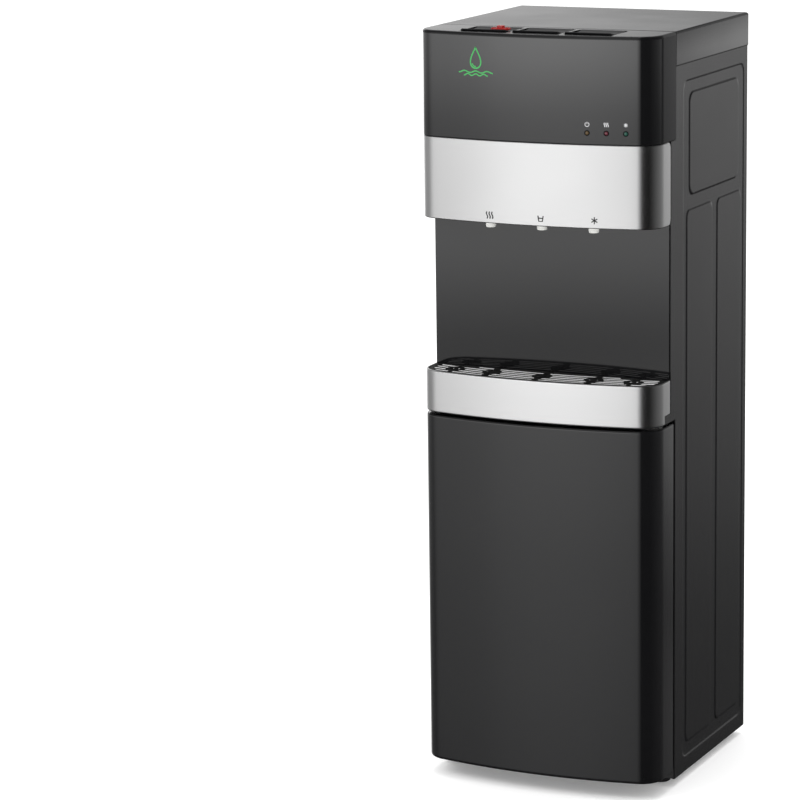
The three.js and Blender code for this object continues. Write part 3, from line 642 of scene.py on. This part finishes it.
def make_lock():
    lo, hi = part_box("hot_lock")
    cx, cy = (lo.x + hi.x) / 2, (lo.y + hi.y) / 2
    base = ((0.3, 0.0), (0.0, 0.4), (0.0, 1.8), (0.4, 2.4), (1.2, 2.6))
    knob = ((-1.0, 2.5), (0.0, 3.2), (0.0, 5.2), (0.5, 5.8), (1.2, 6.0))
    shape = Shape()
    for half_x, half_y, radius, steps, stations in ((13.5, 7.4, 4, 6, base), (5, 4, 1.6, 4, knob)):
        loops = []
        for inset, z in stations:
            w, d = half_x - inset, half_y - inset
            points = rounded_rectangle(-w, w, -d, d, radius, steps)
            loops.append([(cx + u * MM, cy + v * MM, lo.z + z * MM) for u, v in points])
        shape.skin(loops)
    grip = Vector((0.5, 5, 0)) * MM
    for side in (-1, 1):
        for k in range(3):
            middle = Vector((cx + side * (7.0 + 2.0 * k) * MM, cy, lo.z))
            rise = Vector((0, 0, 2.4 * MM)), Vector((0, 0, 3.2 * MM))
            shape.block(middle - grip + rise[0], middle + grip + rise[1], 0.3 * MM)
    mount(shape.build("child_lock", RED), "lock", "hot_lock")


# ---- Drip tray ----
def make_tray():
    z0, z1 = low("tray_front").z, high("tray_front").z
    back = high("tray_front").y
    shelf_front, shelf_top = low("front_frame").y, low("tray_pan").z
    def back_at(z):
        return back if z > shelf_top - 0.1 * MM else shelf_front - 0.5 * MM
    extra = [shelf_top - 0.3 * MM, shelf_top]
    front = bow_wall("tray_shell", z0, z1, back_at, TRAY_SILVER, lower=1.6 * MM, upper=1.2 * MM, extra=extra)
    mount(front, "drip_tray", "tray_front")
    lo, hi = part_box("tray_pan")
    pan = bow_solid("tray_basin", lo.z, hi.z, hi.y, MATT, inset=2.8 * MM, lower=1.0 * MM)
    floor, back = lo.z + 2 * MM, hi.y - 2.2 * MM
    hollow = bow_solid("basin_hollow", floor, hi.z + 0.01, back, MATT, inset=5 * MM, lower=3 * MM)
    mount(cut(pan, hollow), "drip_tray", "tray_pan")


def make_grille():
    """A dark rim with cross ribs, and dark bars that follow the bow, each topped by a thin light-grey strip
    that is a painted highlight.
    """
    lo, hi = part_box("drip_grille")
    middle = (lo.z + hi.z) / 2
    outer = bow_path(2.8 * MM, hi.y)
    inner = bow_path(10.5 * MM, hi.y - 4 * MM)
    place = lambda u, v, d: (u, v, middle + d)
    rim = plate("grille_rim", outer, [inner], hi.z - lo.z, 0.7 * MM, place, MATT)
    mount(rim, "grille", "drip_grille")
    ribs = Shape()
    boss = ((6.5, 0.1), (14, 0.1), (14.6, 0.6), (14.6, 3.1), (14, 3.7), (7.1, 3.7), (6.5, 3.1), (6.5, 0.1))
    for x, half in ((-0.136, 3.2), (-0.078, 5.0), (0.0, 5.0), (0.078, 5.0), (0.136, 3.2)):
        y0 = bow_face(x) + 6 * MM
        ribs.block((x - half * MM, y0, lo.z + 0.1 * MM), (x + half * MM, hi.y - 2 * MM, hi.z), 0.5 * MM, 1)
        ribs.lathe(boss, (x, (y0 + hi.y) / 2, lo.z), sides=32)
    mount(ribs.build("grille_ribs", MATT), "grille", slot="black_matt")
    # The bars are dark; the thin light-grey strip on each is a painted highlight.
    bars = Shape()
    strips = Shape()
    bar_half, strip_half = 2.9, 1.8
    top = hi.z - 0.9 * MM
    limit = HALF - 11 * MM
    last_y = hi.y - 5.5 * MM
    for row in range(5):
        reach = BOW_RADIUS - (14.5 + 11.0 * row) * MM
        half_angle = math.asin(min(limit / reach, math.sqrt(1 - min((BOW_Y - last_y) / reach, 1.0) ** 2)))
        layers = ((bars, bar_half, lo.z + 0.3 * MM, top), (strips, strip_half, top, top + 0.25 * MM))
        for shape, half, z0, z1 in layers:
            loops = []
            for k in range(41):
                a = -math.pi / 2 + (half_angle - (bar_half - half) * MM) * (k / 20 - 1)
                along = Vector((math.cos(a), math.sin(a), 0))
                corners = ((-half, z0), (-half, z1), (half, z1), (half, z0))
                loops.append([Vector((0, BOW_Y, z)) + along * (reach + u * MM) for u, z in corners])
            shape.skin(loops)
    mount(bars.build("grille_bars", MATT), "grille", slot="black_matt")
    mount(strips.build("grille_highlight_strips", BAR_HIGHLIGHT), "grille", slot="bare_steel")


# ---- Door ----
HINGE = Vector((-0.174, -0.116, 0))


def hinge_bore():
    return Shape().lathe(((3.4, 0), (3.4, 1000)), HINGE, sides=20).build("bore", MATT)


def make_door():
    lo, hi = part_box("door_outer")
    door = bow_solid("door_skin", lo.z, hi.z, hi.y, GLOSS, lower=4 * MM, upper=2.5 * MM)
    hollow = bow_solid("door_hollow", lo.z + 3 * MM, hi.z - 3 * MM, hi.y + 0.01, GLOSS, inset=3 * MM)
    eased = Shape().block((-HALF - 0.01, hi.y - 3 * MM, 0), (-HALF + 3 * MM, hi.y + 0.01, 1))
    door = cut(door, hollow, eased.build("ease", GLOSS), hinge_bore())
    mount(door, "door", "door_outer")


def make_door_liner():
    """The door's inner face: a plate with two ribbed sunk fields, hinge blocks, screws and the strike."""
    lo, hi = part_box("door_inner")
    face = CABINET_FRONT - 10.3 * MM
    depth = 2.2 * MM
    back = face - depth
    half, corner = 0.140, 0.016
    heights = ((0.060, 0.262), (0.298, 0.500))
    outline = rounded_rectangle(lo.x + 10.5 * MM, hi.x - 0.4 * MM, lo.z + 0.4 * MM, hi.z - 0.4 * MM, 3 * MM)
    fields = [rounded_rectangle(-half, half, z0, z1, corner, 6) for z0, z1 in heights]
    place = lambda u, v, d: (u, face - depth / 2 - d, v)
    liner = plate("door_liner", outline, fields, depth, 0.5 * MM, place, MATT)
    mount(liner, "door", "door_inner")
    backs = Shape()
    for z0, z1 in heights:
        loops = []
        for grow, y in ((1.5, back), (-0.5, back - 3 * MM), (-0.5, back - 4 * MM)):
            g = grow * MM
            points = rounded_rectangle(-half - g, half + g, z0 - g, z1 + g, corner, 6)
            loops.append([(u, y, v) for u, v in points])
        backs.skin(loops, caps=(False, True))
        for k in (-1, 0, 1):
            x = k * 0.0705
            rib = (x - MM, back - 2.6 * MM, z0 + 4 * MM), (x + MM, back - 0.9 * MM, z1 - 4 * MM)
            backs.block(*rib, 0.4 * MM, 1)
    mount(backs.build("door_fields", MATT), "door", slot="black_matt")
    blocks = Shape()
    for z0, z1 in ((lo.z, heights[0][0]), (heights[1][1], hi.z)):
        blocks.block((lo.x, -0.125, z0), (lo.x + 0.0115, hi.y - 0.3 * MM, z1), 0.8 * MM, 2)
    mount(cut(blocks.build("door_hinge_blocks", MATT), hinge_bore()), "door", slot="black_matt")
    places = [(x, face, z) for x in (-0.158, 0.168) for z in (0.075, 0.178, 0.382, 0.485)]
    screws("door_screws", "door", places, 3.2)
    lo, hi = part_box("strike_plate")
    holes = [circle((lo.x + hi.x) / 2, z, 1.5 * MM, 14) for z in (lo.z + 5 * MM, hi.z - 5 * MM)]
    outline = rounded_rectangle(lo.x, hi.x, lo.z, hi.z, 2 * MM)
    place = lambda u, v, d: (u, (lo.y + hi.y) / 2 - d, v)
    strike = plate("strike", outline, holes, hi.y - lo.y, 0.25 * MM, place, ZINC)
    mount(strike, "door", "strike_plate")


def screws(name, body, places, radius):
    """Pan-head cross screws standing on a face towards the rear. The radius is in mm."""
    pan = ((1.0, 0.0), (1.0, 0.18), (0.86, 0.42), (0.5, 0.58), (0.01, 0.62))
    profile = [(r * radius, h * radius) for r, h in pan]
    heads = Shape()
    slots = Shape()
    long, short, low_y, high_y = (k * radius * MM for k in (0.5, 0.11, 0.3, 0.64))
    for x, y, z in places:
        heads.lathe(profile, (x, y, z), "Y", 18)
        for a, b in ((long, short), (short, long)):
            slots.block((x - a, y + low_y, z - b), (x + a, y + high_y, z + b))
    mount(heads.build(name, ZINC), body, slot="bare_steel")
    mount(slots.build(name + "_slots", MATT), body, slot="black_matt")


# ---- Steel cabinet ----
SIDE_FIELDS = (
    # low and high y from the cabinet's front, low and high z, corner radius, step outwards
    (0.032, 0.276, 0.035, 1.013, 0.014, -0.7 * MM),
    (0.055, 0.254, 0.851, 0.995, 0.014, 1.1 * MM),
    (0.045, 0.147, 0.055, 0.830, 0.010, 1.1 * MM),
    (0.167, 0.265, 0.055, 0.830, 0.010, 1.1 * MM),
)
SLOPE = 3.4 * MM
HEM = 1.6 * MM


def side_height(y, z):
    hem = max(HEM - (y - CABINET_FRONT), 0.0) / HEM
    height = -HEM * (1 - math.sqrt(max(1 - min(hem, 1.0) ** 2, 0.0)))
    for y0, y1, z0, z1, radius, step in SIDE_FIELDS:
        cy, cz = CABINET_FRONT + (y0 + y1) / 2, (z0 + z1) / 2
        dy = abs(y - cy) - (y1 - y0) / 2 + radius
        dz = abs(z - cz) - (z1 - z0) / 2 + radius
        outside = math.hypot(max(dy, 0), max(dz, 0)) + min(max(dy, dz), 0) - radius
        t = min(max(0.5 - outside / SLOPE, 0.0), 1.0)
        height += step * t * t * (3 - 2 * t)
    return height


def fine_stations(first, last, edges):
    """Stations from first to last, close together round each edge and fairly close just inside it."""
    values = {round(first, 5), round(last, 5)}
    values |= {round(first + HEM * k / 5, 5) for k in range(1, 7)}
    for edge, inward in edges:
        values |= {round(edge + k * 0.5 * MM, 5) for k in range(-5, 6)}
        values |= {round(edge + inward * (2.4 + k * 2.0) * MM, 5) for k in range(1, 8)}
    ordered = sorted(v for v in values if first - 0.02 * MM <= v <= last + 0.02 * MM)
    filled = [ordered[0]]
    for v in ordered[1:]:
        gap = v - filled[-1]
        if gap >= 0.25 * MM:
            parts = max(math.ceil(gap / 0.045), 1)
            filled += [filled[-1] + gap * (k + 1) / parts for k in range(parts)]
    return filled


def make_side(side):
    """One side panel: a sheet with pressed fields, and a flange along its front and its rear edge."""
    name, node = ("side_right", "right_side_panel") if side > 0 else ("side_left", "left_side_panel")
    lo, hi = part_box(node)
    outer = HALF - 1.5 * MM
    thickness = 1.2 * MM
    y_edges, z_edges = [], []
    for y0, y1, z0, z1, *_ in SIDE_FIELDS:
        y_edges += [(CABINET_FRONT + y0, 1), (CABINET_FRONT + y1, -1)]
        z_edges += [(z0, 1), (z1, -1)]
    ys, zs = fine_stations(lo.y, hi.y, y_edges), fine_stations(lo.z, hi.z, z_edges)
    columns, rows = len(ys), len(zs)
    shape = Shape()
    for level in (0.0, thickness):
        shape.verts += [Vector((side * (outer + side_height(y, z) - level), y, z)) for y in ys for z in zs]

    def index(i, j, layer):
        return (layer * columns + i) * rows + j

    for i in range(columns - 1):
        for j in range(rows - 1):
            for layer in (0, 1):
                corners = ((i, j), (i + 1, j), (i + 1, j + 1), (i, j + 1))
                shape.faces.append(tuple(index(*c, layer) for c in corners))
    border = [(i, 0) for i in range(columns)] + [(columns - 1, j) for j in range(1, rows)]
    border += [(i, rows - 1) for i in range(columns - 2, -1, -1)] + [(0, j) for j in range(rows - 2, 0, -1)]
    for a, b in zip(border, border[1:] + border[:1]):
        shape.faces.append((index(*a, 0), index(*b, 0), index(*b, 1), index(*a, 1)))
    mount(shape.build(name, PAINT, angle=40), "cabinet", node)
    flanges = Shape()
    x0, x1 = sorted((side * 0.160, side * (outer - thickness)))
    for y in (lo.y, hi.y - thickness):
        flanges.block((x0, y, 0.040), (x1, y + thickness, SKIRT_BOTTOM), 0.3 * MM, 1)
    mount(flanges.build(name + "_flanges", PAINT), "cabinet", slot="black_steel")


def make_top():
    """The top cover: a shallow lid whose upper edge is rounded, and eased less sharply at the front."""
    lo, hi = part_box("top_cover")
    edge = 3.5 * MM
    stations = [(inset, lo.z + rise * MM) for inset, rise in ((1.1, 0.0), (0.6, 0.3), (0.0, 1.3), (0.0, 2.3))]
    drops = ((0.0, 1.0), (0.3, 0.55), (1.02, 0.3), (2.0, 0.1), (3.5, 0.0), (4.0, 0.0))
    stations += [(inset, hi.z - drop * edge) for inset, drop in drops]
    loops = []
    for inset, z in stations:
        side = hi.x - inset * MM
        front = lo.y + (1.3 * inset * MM if z > hi.z - edge else 0.0)
        points = rounded_rectangle(-side, side, lo.y, hi.y - inset * MM, 3 * MM)
        squared = [(math.copysign(side, u), front) if v < lo.y + 3.01 * MM else (u, v) for u, v in points]
        loops.append([(u, v, z) for u, v in squared])
    cover = Shape().skin(loops).build("top_cap", COVER)
    wall = 1.2 * MM
    inner = Shape().block((lo.x + wall, lo.y - 0.01, lo.z - 0.01), (hi.x - wall, hi.y - wall, hi.z - wall))
    mount(cut(cover, inner.build("inner", COVER)), "cabinet", "top_cover")


def make_front_frame():
    """The surround behind the door, near-black as painted shade for the gap round the door, and the painted
    shelf, posts and lintel above it.
    """
    lo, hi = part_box("front_frame")
    seat, shelf_low, shelf_top = -0.1065, 0.541, 0.554
    edge, post = 0.165, 0.166
    surround = Shape()
    for x0, x1, z0, z1 in ((lo.x, -edge, lo.z, shelf_low), (edge, hi.x, lo.z, shelf_low),
                           (-edge, edge, lo.z, 0.032), (-edge, edge, 0.527, shelf_low)):
        surround.block((x0, seat, z0), (x1, hi.y, z1))
    # Near-black surround: painted shade where the gap between door and side panels lies in shadow.
    surround = surround.build("door_surround", SHADE)
    pocket = Shape().block((0.1675, -0.1, 0.279), (0.1775, -0.11, 0.321)).build("magnet_pocket", SHADE)
    mount(cut(surround, pocket), "cabinet", "front_frame")
    upper = Shape().block((lo.x, lo.y, shelf_low), (hi.x, hi.y, shelf_top), 0.5 * MM, 1)
    for x0, x1 in ((lo.x, -post), (post, hi.x)):
        upper.block((x0, -0.1182, shelf_top), (x1, hi.y, hi.z))
    upper.block((-post, -0.111, hi.z - 0.0197), (post, hi.y, hi.z))
    mount(upper.build("tap_frame", PAINT), "cabinet", slot="black_matt")


def make_feet():
    profile = ((0.02, 0.6), (6, 0.6), (7, 0.0), (14.5, 0.0), (15.8, 0.8), (17.2, 6), (18.6, 9.6),
               (18.9, 11.9), (0.02, 11.9))
    for end in ("front", "rear"):
        for side in ("left", "right"):
            node = f"foot_{end}_{side}"
            lo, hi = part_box(node)
            foot = Shape().lathe(profile, ((lo.x + hi.x) / 2, (lo.y + hi.y) / 2, 0), sides=40)
            mount(foot.build(node + "_pad", RUBBER), "cabinet", node)


def make_rear_cover():
    """The louvred upper rear cover, with its side returns and screws."""
    lo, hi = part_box("rear_cover")
    face = hi.y - 11.2 * MM
    holes = []
    for middle in (-0.080, 0.080):
        for row in range(14):
            z = 0.840 + row * 0.011
            holes.append(rounded_rectangle(middle - 0.050, middle + 0.050, z, z + 4 * MM, 1.9 * MM, 3))
    for x in ROCKER_X.values():
        holes.append(rounded_rectangle(x - 9.5 * MM, x + 9.5 * MM, 0.6855, 0.7145, 1 * MM, 2))
    holes.append(circle(-0.120, 0.668, 10 * MM))
    holes.append(rounded_rectangle(0.105, 0.135, 0.656, 0.680, 1 * MM, 2))
    outline = rounded_rectangle(lo.x, hi.x, lo.z, hi.z, 2 * MM)
    place = lambda u, v, d: (u, face - 0.6 * MM - d, v)
    cover = plate("rear_panel", outline, holes, 1.2 * MM, 0.3 * MM, place, PAINT)
    mount(cover, "cabinet", "rear_cover")
    returns = Shape()
    for side in (-1, 1):
        x0, x1 = sorted((side * (hi.x - 1.2 * MM), side * hi.x))
        returns.block((x0, face - 0.3 * MM, lo.z), (x1, hi.y, SKIRT_BOTTOM), 0.3 * MM, 1)
    mount(returns.build("rear_panel_returns", PAINT), "cabinet", slot="black_steel")
    places = [(x, face, z) for x in (-0.163, 0.163) for z in (0.575, 0.78, 1.022)]
    screws("rear_screws", "cabinet", places, 3.4)


# ---- Compartment ----
def make_condenser():
    """Wire-on-tube: one serpentine tube between two rows of upright wires."""
    lo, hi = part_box("condenser")
    y = lo.y + 2.5 * MM
    z0, pitch, rows = 0.058, 0.038, 13
    half = hi.x - 2.5 * MM
    bend = pitch / 2
    points = []
    for row in range(rows):
        side = 1 if row % 2 == 0 else -1
        z = z0 + row * pitch
        points += [(-side * (half - bend), y, z), (side * (half - bend), y, z)]
        if row < rows - 1:
            turn = arc(half - bend, z + bend, bend, -math.pi / 2, math.pi / 2, 8)[1:-1]
            points += [(side * u, y, v) for u, v in turn]
    coil = Shape().tube(points, 2.4 * MM, 8)
    mount(coil.build("condenser_tube", ENAMEL, angle=60), "cabinet", "condenser")
    wires = Shape()
    count = 46
    reach = half - 6 * MM
    for k in range(count):
        x = reach * (2 * k / (count - 1) - 1)
        for dy in (-3.1 * MM, 3.1 * MM):
            wires.tube([(x, y + dy, lo.z + MM), (x, y + dy, hi.z - MM)], 0.75 * MM, 5)
    mount(wires.build("condenser_wires", ENAMEL, angle=60), "cabinet", slot="plant_black")


HOSE_ROUTE = (
    (0.1157, 0.142, 0.6026), (0.093, 0.142, 0.6026), (0.060, 0.141, 0.609), (0.010, 0.140, 0.612),
    (-0.060, 0.140, 0.612), (-0.105, 0.138, 0.612), (-0.128, 0.122, 0.612), (-0.128, 0.100, 0.612),
    (-0.105, 0.084, 0.612), (-0.060, 0.082, 0.612), (0.010, 0.080, 0.612), (0.050, 0.066, 0.611),
    (0.062, 0.030, 0.609), (0.056, -0.020, 0.605), (0.040, -0.055, 0.601), (0.008, -0.071, 0.600),
    (-0.021, -0.072, 0.600), (-0.0457, -0.072, 0.600),
)


def smooth_route(points, steps=6):
    """A Catmull-Rom curve through the points."""
    points = [Vector(p) for p in points]
    out = []
    for i in range(len(points) - 1):
        p0 = points[max(i - 1, 0)]
        p1, p2 = points[i], points[i + 1]
        p3 = points[min(i + 2, len(points) - 1)]
        for k in range(steps):
            t = k / steps
            a = 2 * p1 + (p2 - p0) * t
            b = (2 * p0 - 5 * p1 + 4 * p2 - p3) * t**2
            c = (3 * p1 - p0 - 3 * p2 + p3) * t**3
            out.append((a + b + c) / 2)
    out.append(points[-1])
    return out


def make_probe():
    lo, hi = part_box("dip_tube")
    x, y = (lo.x + hi.x) / 2, (lo.y + hi.y) / 2
    cap_low = low("probe_cap").z
    profile = ((26.2, 0.0), (29.6, 0.0), (30.0, 0.6), (30.0, 43), (29.2, 46), (26.5, 49.2), (11, 49.8),
               (10.4, 50.4), (10.4, 55.4), (9.8, 56), (7.6, 56), (7.6, 44.5), (26.2, 44.5), (26.2, 0.0))
    cap = Shape().lathe(profile, (x, y, cap_low), sides=48)
    rib = (3.0 * MM, 3.4 * MM, 36 * MM)
    cap.bars_round(16, rib, 0.8 * MM, 2, "Z", 30.2 * MM, (x, y, cap_low + 21 * MM))
    mount(cap.build("probe_head", WHITE), "cabinet", "probe_cap")
    ring_lo, ring_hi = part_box("probe_collar")
    height = (ring_hi.z - ring_lo.z) / MM
    profile = ((26.2, 0.0), (31.2, 0.0), (31.9, 0.8), (31.9, height - 0.8), (31.2, height), (26.2, height),
               (26.2, 0.0))
    ring = Shape().lathe(profile, (x, y, ring_lo.z), sides=48)
    mount(ring.build("probe_ring", TEAL), "cabinet", "probe_collar")
    length = (hi.z - lo.z) / MM
    profile = ((5.0, 0.0), (6.9, 0.0), (6.9, 20), (6.2, 22), (6.2, length - 60), (6.9, length - 58),
               (6.9, length), (5.0, length), (5.0, 0.0))
    tube = Shape().lathe(profile, (x, y, lo.z), sides=28).build("probe_tube", WHITE)
    notch = Shape().block((x - 0.01, y - 1.5 * MM, lo.z - 0.01), (x + 0.01, y + 1.5 * MM, lo.z + 0.012))
    mount(cut(tube, notch.build("notch", WHITE)), "cabinet", "dip_tube")
    lo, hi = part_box("probe_elbow")
    top = lo.z + 13.7 * MM
    bend = [(x, y, lo.z + 0.2 * MM), (x, y, lo.z + 5 * MM)]
    for k in range(1, 9):
        a = math.pi / 2 * k / 8
        bend.append((x - 8 * MM * (1 - math.cos(a)), y, lo.z + 5 * MM + 8.7 * MM * math.sin(a)))
    bend.append((lo.x + 0.2 * MM, y, top))
    elbow = Shape().tube(bend, 6.4 * MM, 20)
    elbow.lathe(((0.02, 0), (8.4, 0), (8.8, 0.5), (8.8, 4.5), (0.02, 4.5)), (x, y, lo.z + 0.1 * MM), sides=24)
    for u in (lo.x + 1.5 * MM, lo.x + 8 * MM):
        elbow.lathe(((0.02, 0), (8.4, 0), (8.4, 3.4), (0.02, 3.4)), (u, y, top), "X", 24)
    mount(elbow.build("probe_bend", WHITE, angle=40), "cabinet", "probe_elbow")


def make_hose():
    hose = Shape().tube(smooth_route(HOSE_ROUTE), 4.9 * MM, 16)
    mount(hose.build("suction_line", HOSE, angle=60), "cabinet", "suction_hose")


def make_rockers():
    side = ((-4, -11.8), (-4, 11.8), (0.3, 12.3), (1.0, 11.6), (1.9, 4), (2.5, 0), (3.4, -5), (4.4, -11.5),
            (4.2, -12.3), (3.4, -12.4))
    for name, x in ROCKER_X.items():
        face = high(f"{name}_rocker").y - 4.5 * MM
        loops = []
        for u, shrink in ((-7.3, 0.3), (-6.9, 0.0), (6.9, 0.0), (7.3, 0.3)):
            narrow = 1 - shrink * 0.03
            loops.append([(x + u * MM, face + (y - shrink) * MM, 0.7 + z * MM * narrow) for y, z in side])
        mount(Shape().skin(loops).build(f"{name}_key", RED), f"{name}_rocker_body", f"{name}_rocker")


def make_drain_cap():
    lo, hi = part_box("drain_cap")
    x, z = (lo.x + hi.x) / 2, (lo.z + hi.z) / 2
    profile = ((0.0188, 0.4), (7.896, 0.4), (7.896, 3.3), (11.844, 3.4), (12.22, 4.0), (11.844, 13.0),
               (11.092, 14.2), (4.7, 14.3), (3.76, 13.6), (0.0188, 13.6))
    cap = Shape().lathe(profile, (x, lo.y, z), "Y", 40)
    grip = (1.4 * MM, 9 * MM, 1.6 * MM)
    cap.bars_round(18, grip, 0.4 * MM, 1, "Y", 12.0 * MM, (x, lo.y + 9.5 * MM, z))
    mount(cap.build("drain_knob", MATT), "drain", "drain_cap")


def make_magnet():
    magnet = Shape().block(*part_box("door_magnet"), 0.6 * MM).build("catch_magnet", MATT)
    mount(magnet, "cabinet", "door_magnet")


# ---- Camera, light and floor ----
CAMERA = {"lens": 158.27, "yaw": 25.482, "pitch": 11.800, "roll": -0.83, "place": (1.9074, -4.6226, 1.5829)}


def make_camera():
    yaw, pitch, roll = (math.radians(CAMERA[k]) for k in ("yaw", "pitch", "roll"))
    back = Vector((math.sin(yaw) * math.cos(pitch), -math.cos(yaw) * math.cos(pitch), math.sin(pitch)))
    right = Vector((math.cos(yaw), math.sin(yaw), 0))
    up = back.cross(right)
    right, up = (right * math.cos(roll) + up * math.sin(roll), up * math.cos(roll) - right * math.sin(roll))
    data = bpy.data.cameras.new("camera")
    data.lens = CAMERA["lens"]
    data.sensor_width = 36
    camera = bpy.data.objects.new("camera", data)
    basis = Matrix((right, up, back)).transposed().to_4x4()
    camera.matrix_world = Matrix.Translation(CAMERA["place"]) @ basis
    bpy.context.scene.collection.objects.link(camera)
    bpy.context.scene.camera = camera


def level_ramp(tree, fac, stops):
    """A grey ramp through (position, level) stops."""
    ramp = add_node(tree, "ValToRGB", {"Fac": fac})
    elements = ramp.color_ramp.elements
    while len(elements) < len(stops):
        elements.new(0.5)
    for element, (position, level) in zip(elements, stops):
        element.position = position
        element.color = (*grey(level), 1)
    return ramp.outputs["Color"]


def multiplied(tree, a, b, factor=1.0):
    """a times b, or as much of that as factor says."""
    inputs = {"Factor": factor, "A": a, "B": b}
    return add_node(tree, "Mix", inputs, data_type="RGBA", blend_type="MULTIPLY").outputs["Result"]


# What reflections see, by height: half of one plus the sine of the elevation.
BY_HEIGHT = (
    (0.0, 0.04), (0.25, 0.06), (0.329, 0.25), (0.351, 0.38), (0.375, 0.53), (0.391, 0.70), (0.398, 0.80),
    (0.4035, 0.45), (0.4065, 0.47), (0.4131, 0.88), (0.4195, 1.32), (0.4215, 1.4), (0.425, 1.0),
    (0.4285, 1.0), (0.4335, 0.64), (0.4365, 0.74), (0.442, 1.38), (0.447, 2.0), (0.452, 2.1), (0.465, 1.6),
    (0.4915, 0.58), (0.553, 0.58), (0.608, 0.5), (0.646, 0.4), (0.703, 0.3), (0.742, 0.15), (0.85, 0.3),
    (1.0, 0.4),
)
# By direction: degrees from the front towards +X.
BY_DIRECTION = (
    (-180, 0.45), (-162, 0.65), (-154, 1.9), (-140, 1.6), (-115, 0.3), (-75, 0.3), (-50, 0.82), (-43, 0.9),
    (-36, 1.02), (-30, 1.2), (-23, 1.3), (-16, 1.33), (-10, 1.3), (-3, 1.2), (5, 1.05), (22, 0.01),
    (62, 0.01), (90, 0.08), (128, 0.17), (150, 0.26), (158, 0.45), (168, 0.6), (180, 0.6),
)
# By height again, only for what the sides reflect.
SIDEWAYS = (
    (0.0, 0.6), (0.3555, 0.55), (0.369, 0.34), (0.384, 0.62), (0.390, 0.93), (0.425, 1.0), (0.4335, 1.2),
    (0.4395, 1.0), (0.447, 0.95), (1.0, 1.0),
)


def make_world():
    """White for the camera; for reflections a studio that darkens towards the floor and to one side."""
    world = bpy.data.worlds.new("studio")
    world.use_nodes = True
    world.cycles.sampling_method = "NONE"
    tree = world.node_tree
    tree.nodes.clear()
    xyz = add_node(tree, "SeparateXYZ", {0: add_node(tree, "TexCoord").outputs["Generated"]}).outputs
    height = spread(tree, xyz["Z"], 0, 1, -1, 1, smooth=False)
    forward = add_node(tree, "Math", {0: xyz["Y"], 1: -1}, operation="MULTIPLY").outputs[0]
    angle = add_node(tree, "Math", {0: xyz["X"], 1: forward}, operation="ARCTAN2").outputs[0]
    around = spread(tree, angle, 0, 1, -math.pi, math.pi, smooth=False)
    turned = level_ramp(tree, around, [((a + 180) / 360, v) for a, v in BY_DIRECTION])
    level = multiplied(tree, level_ramp(tree, height, BY_HEIGHT), turned)
    beside = spread(tree, angle, 0, 1, math.radians(110), math.radians(150), smooth=False)
    level = multiplied(tree, level, level_ramp(tree, height, SIDEWAYS), beside)
    glossy = add_node(tree, "Background", {"Color": level})
    soft = add_node(tree, "Background", {"Color": (*grey(0.9), 1), "Strength": 1.25})
    white = add_node(tree, "Background", {"Color": (*grey(1.0), 1), "Strength": 1.0})
    path = add_node(tree, "LightPath").outputs
    unseen = add_node(tree, "MixShader", {0: path["Is Glossy Ray"], 1: soft.outputs[0], 2: glossy.outputs[0]})
    seen = add_node(tree, "MixShader", {0: path["Is Camera Ray"], 1: unseen.outputs[0], 2: white.outputs[0]})
    add_node(tree, "OutputWorld", {0: seen.outputs[0]})
    bpy.context.scene.world = world


def make_lights():
    for name, place, size, power in (("key", (-2.4, -2.8, 3.4), 2.2, 60), ("top", (0.3, 0.6, 4.2), 2.6, 60)):
        data = bpy.data.lights.new(name, "AREA")
        data.shape = "DISK"
        data.size = size
        data.energy = power
        light = bpy.data.objects.new(name, data)
        light.location = place
        aim = Vector((0, 0, 0.6)) - Vector(place)
        light.rotation_euler = aim.to_track_quat("-Z", "Y").to_euler()
        light.visible_camera = False
        light.visible_glossy = False
        bpy.context.scene.collection.objects.link(light)


def make_floor():
    material, tree, shader, coords = node_material("floor_paper")
    cloud = spread(tree, noise(tree, coords, 1.5), 0, 1)
    fill(tree, shader, {
        "Base Color": blend_colors(tree, cloud, grey(0.92), grey(0.94)),
        "Roughness": 0.9,
        "Specular IOR Level": 0.1,
        "Emission Color": (*grey(1.0), 1),
        "Emission Strength": 0.2,
    })
    half = 60
    mesh = bpy.data.meshes.new("floor")
    corners = [(-half, -half, 0), (half, -half, 0), (half, half, 0), (-half, half, 0)]
    mesh.from_pydata(corners, [], [(0, 1, 2, 3)])
    mesh.materials.append(material)
    floor = bpy.data.objects.new("floor", mesh)
    bpy.context.scene.collection.objects.link(floor)
    floor.visible_glossy = False


make_camera()
make_world()
make_lights()
make_floor()
bpy.context.scene.view_settings.view_transform = "Standard"

make_head()
make_well_linings()
make_lamps()
make_signs()
make_mark()
make_band()
make_bay()
make_spouts()
make_keys()
make_lock()
make_tray()
make_grille()
make_door()
make_door_liner()
make_side(1)
make_side(-1)
make_top()
make_front_frame()
make_feet()
make_rear_cover()
make_condenser()
make_probe()
make_hose()
make_rockers()
make_drain_cap()
make_magnet()

dress(PAINT, "base_pan", "mid_deck", "upper_deck", "condenser_frame", "pump_bracket")
dress(MATT, "spout_plate", "bottle_tray", "probe_hanger", "pump", "hose_hanger", "control_box")
dress(MATT, "switch_plate", "power_inlet")
dress(STEEL, "paddle_rod", "hinge_pin_upper", "hot_tank")
dress(ZINC, "hinge_bracket_lower")
dress(WHITE, "hot_valve", "warm_valve", "cold_valve")
dress(FOAM, "cold_tank")
dress(ENAMEL, "compressor")
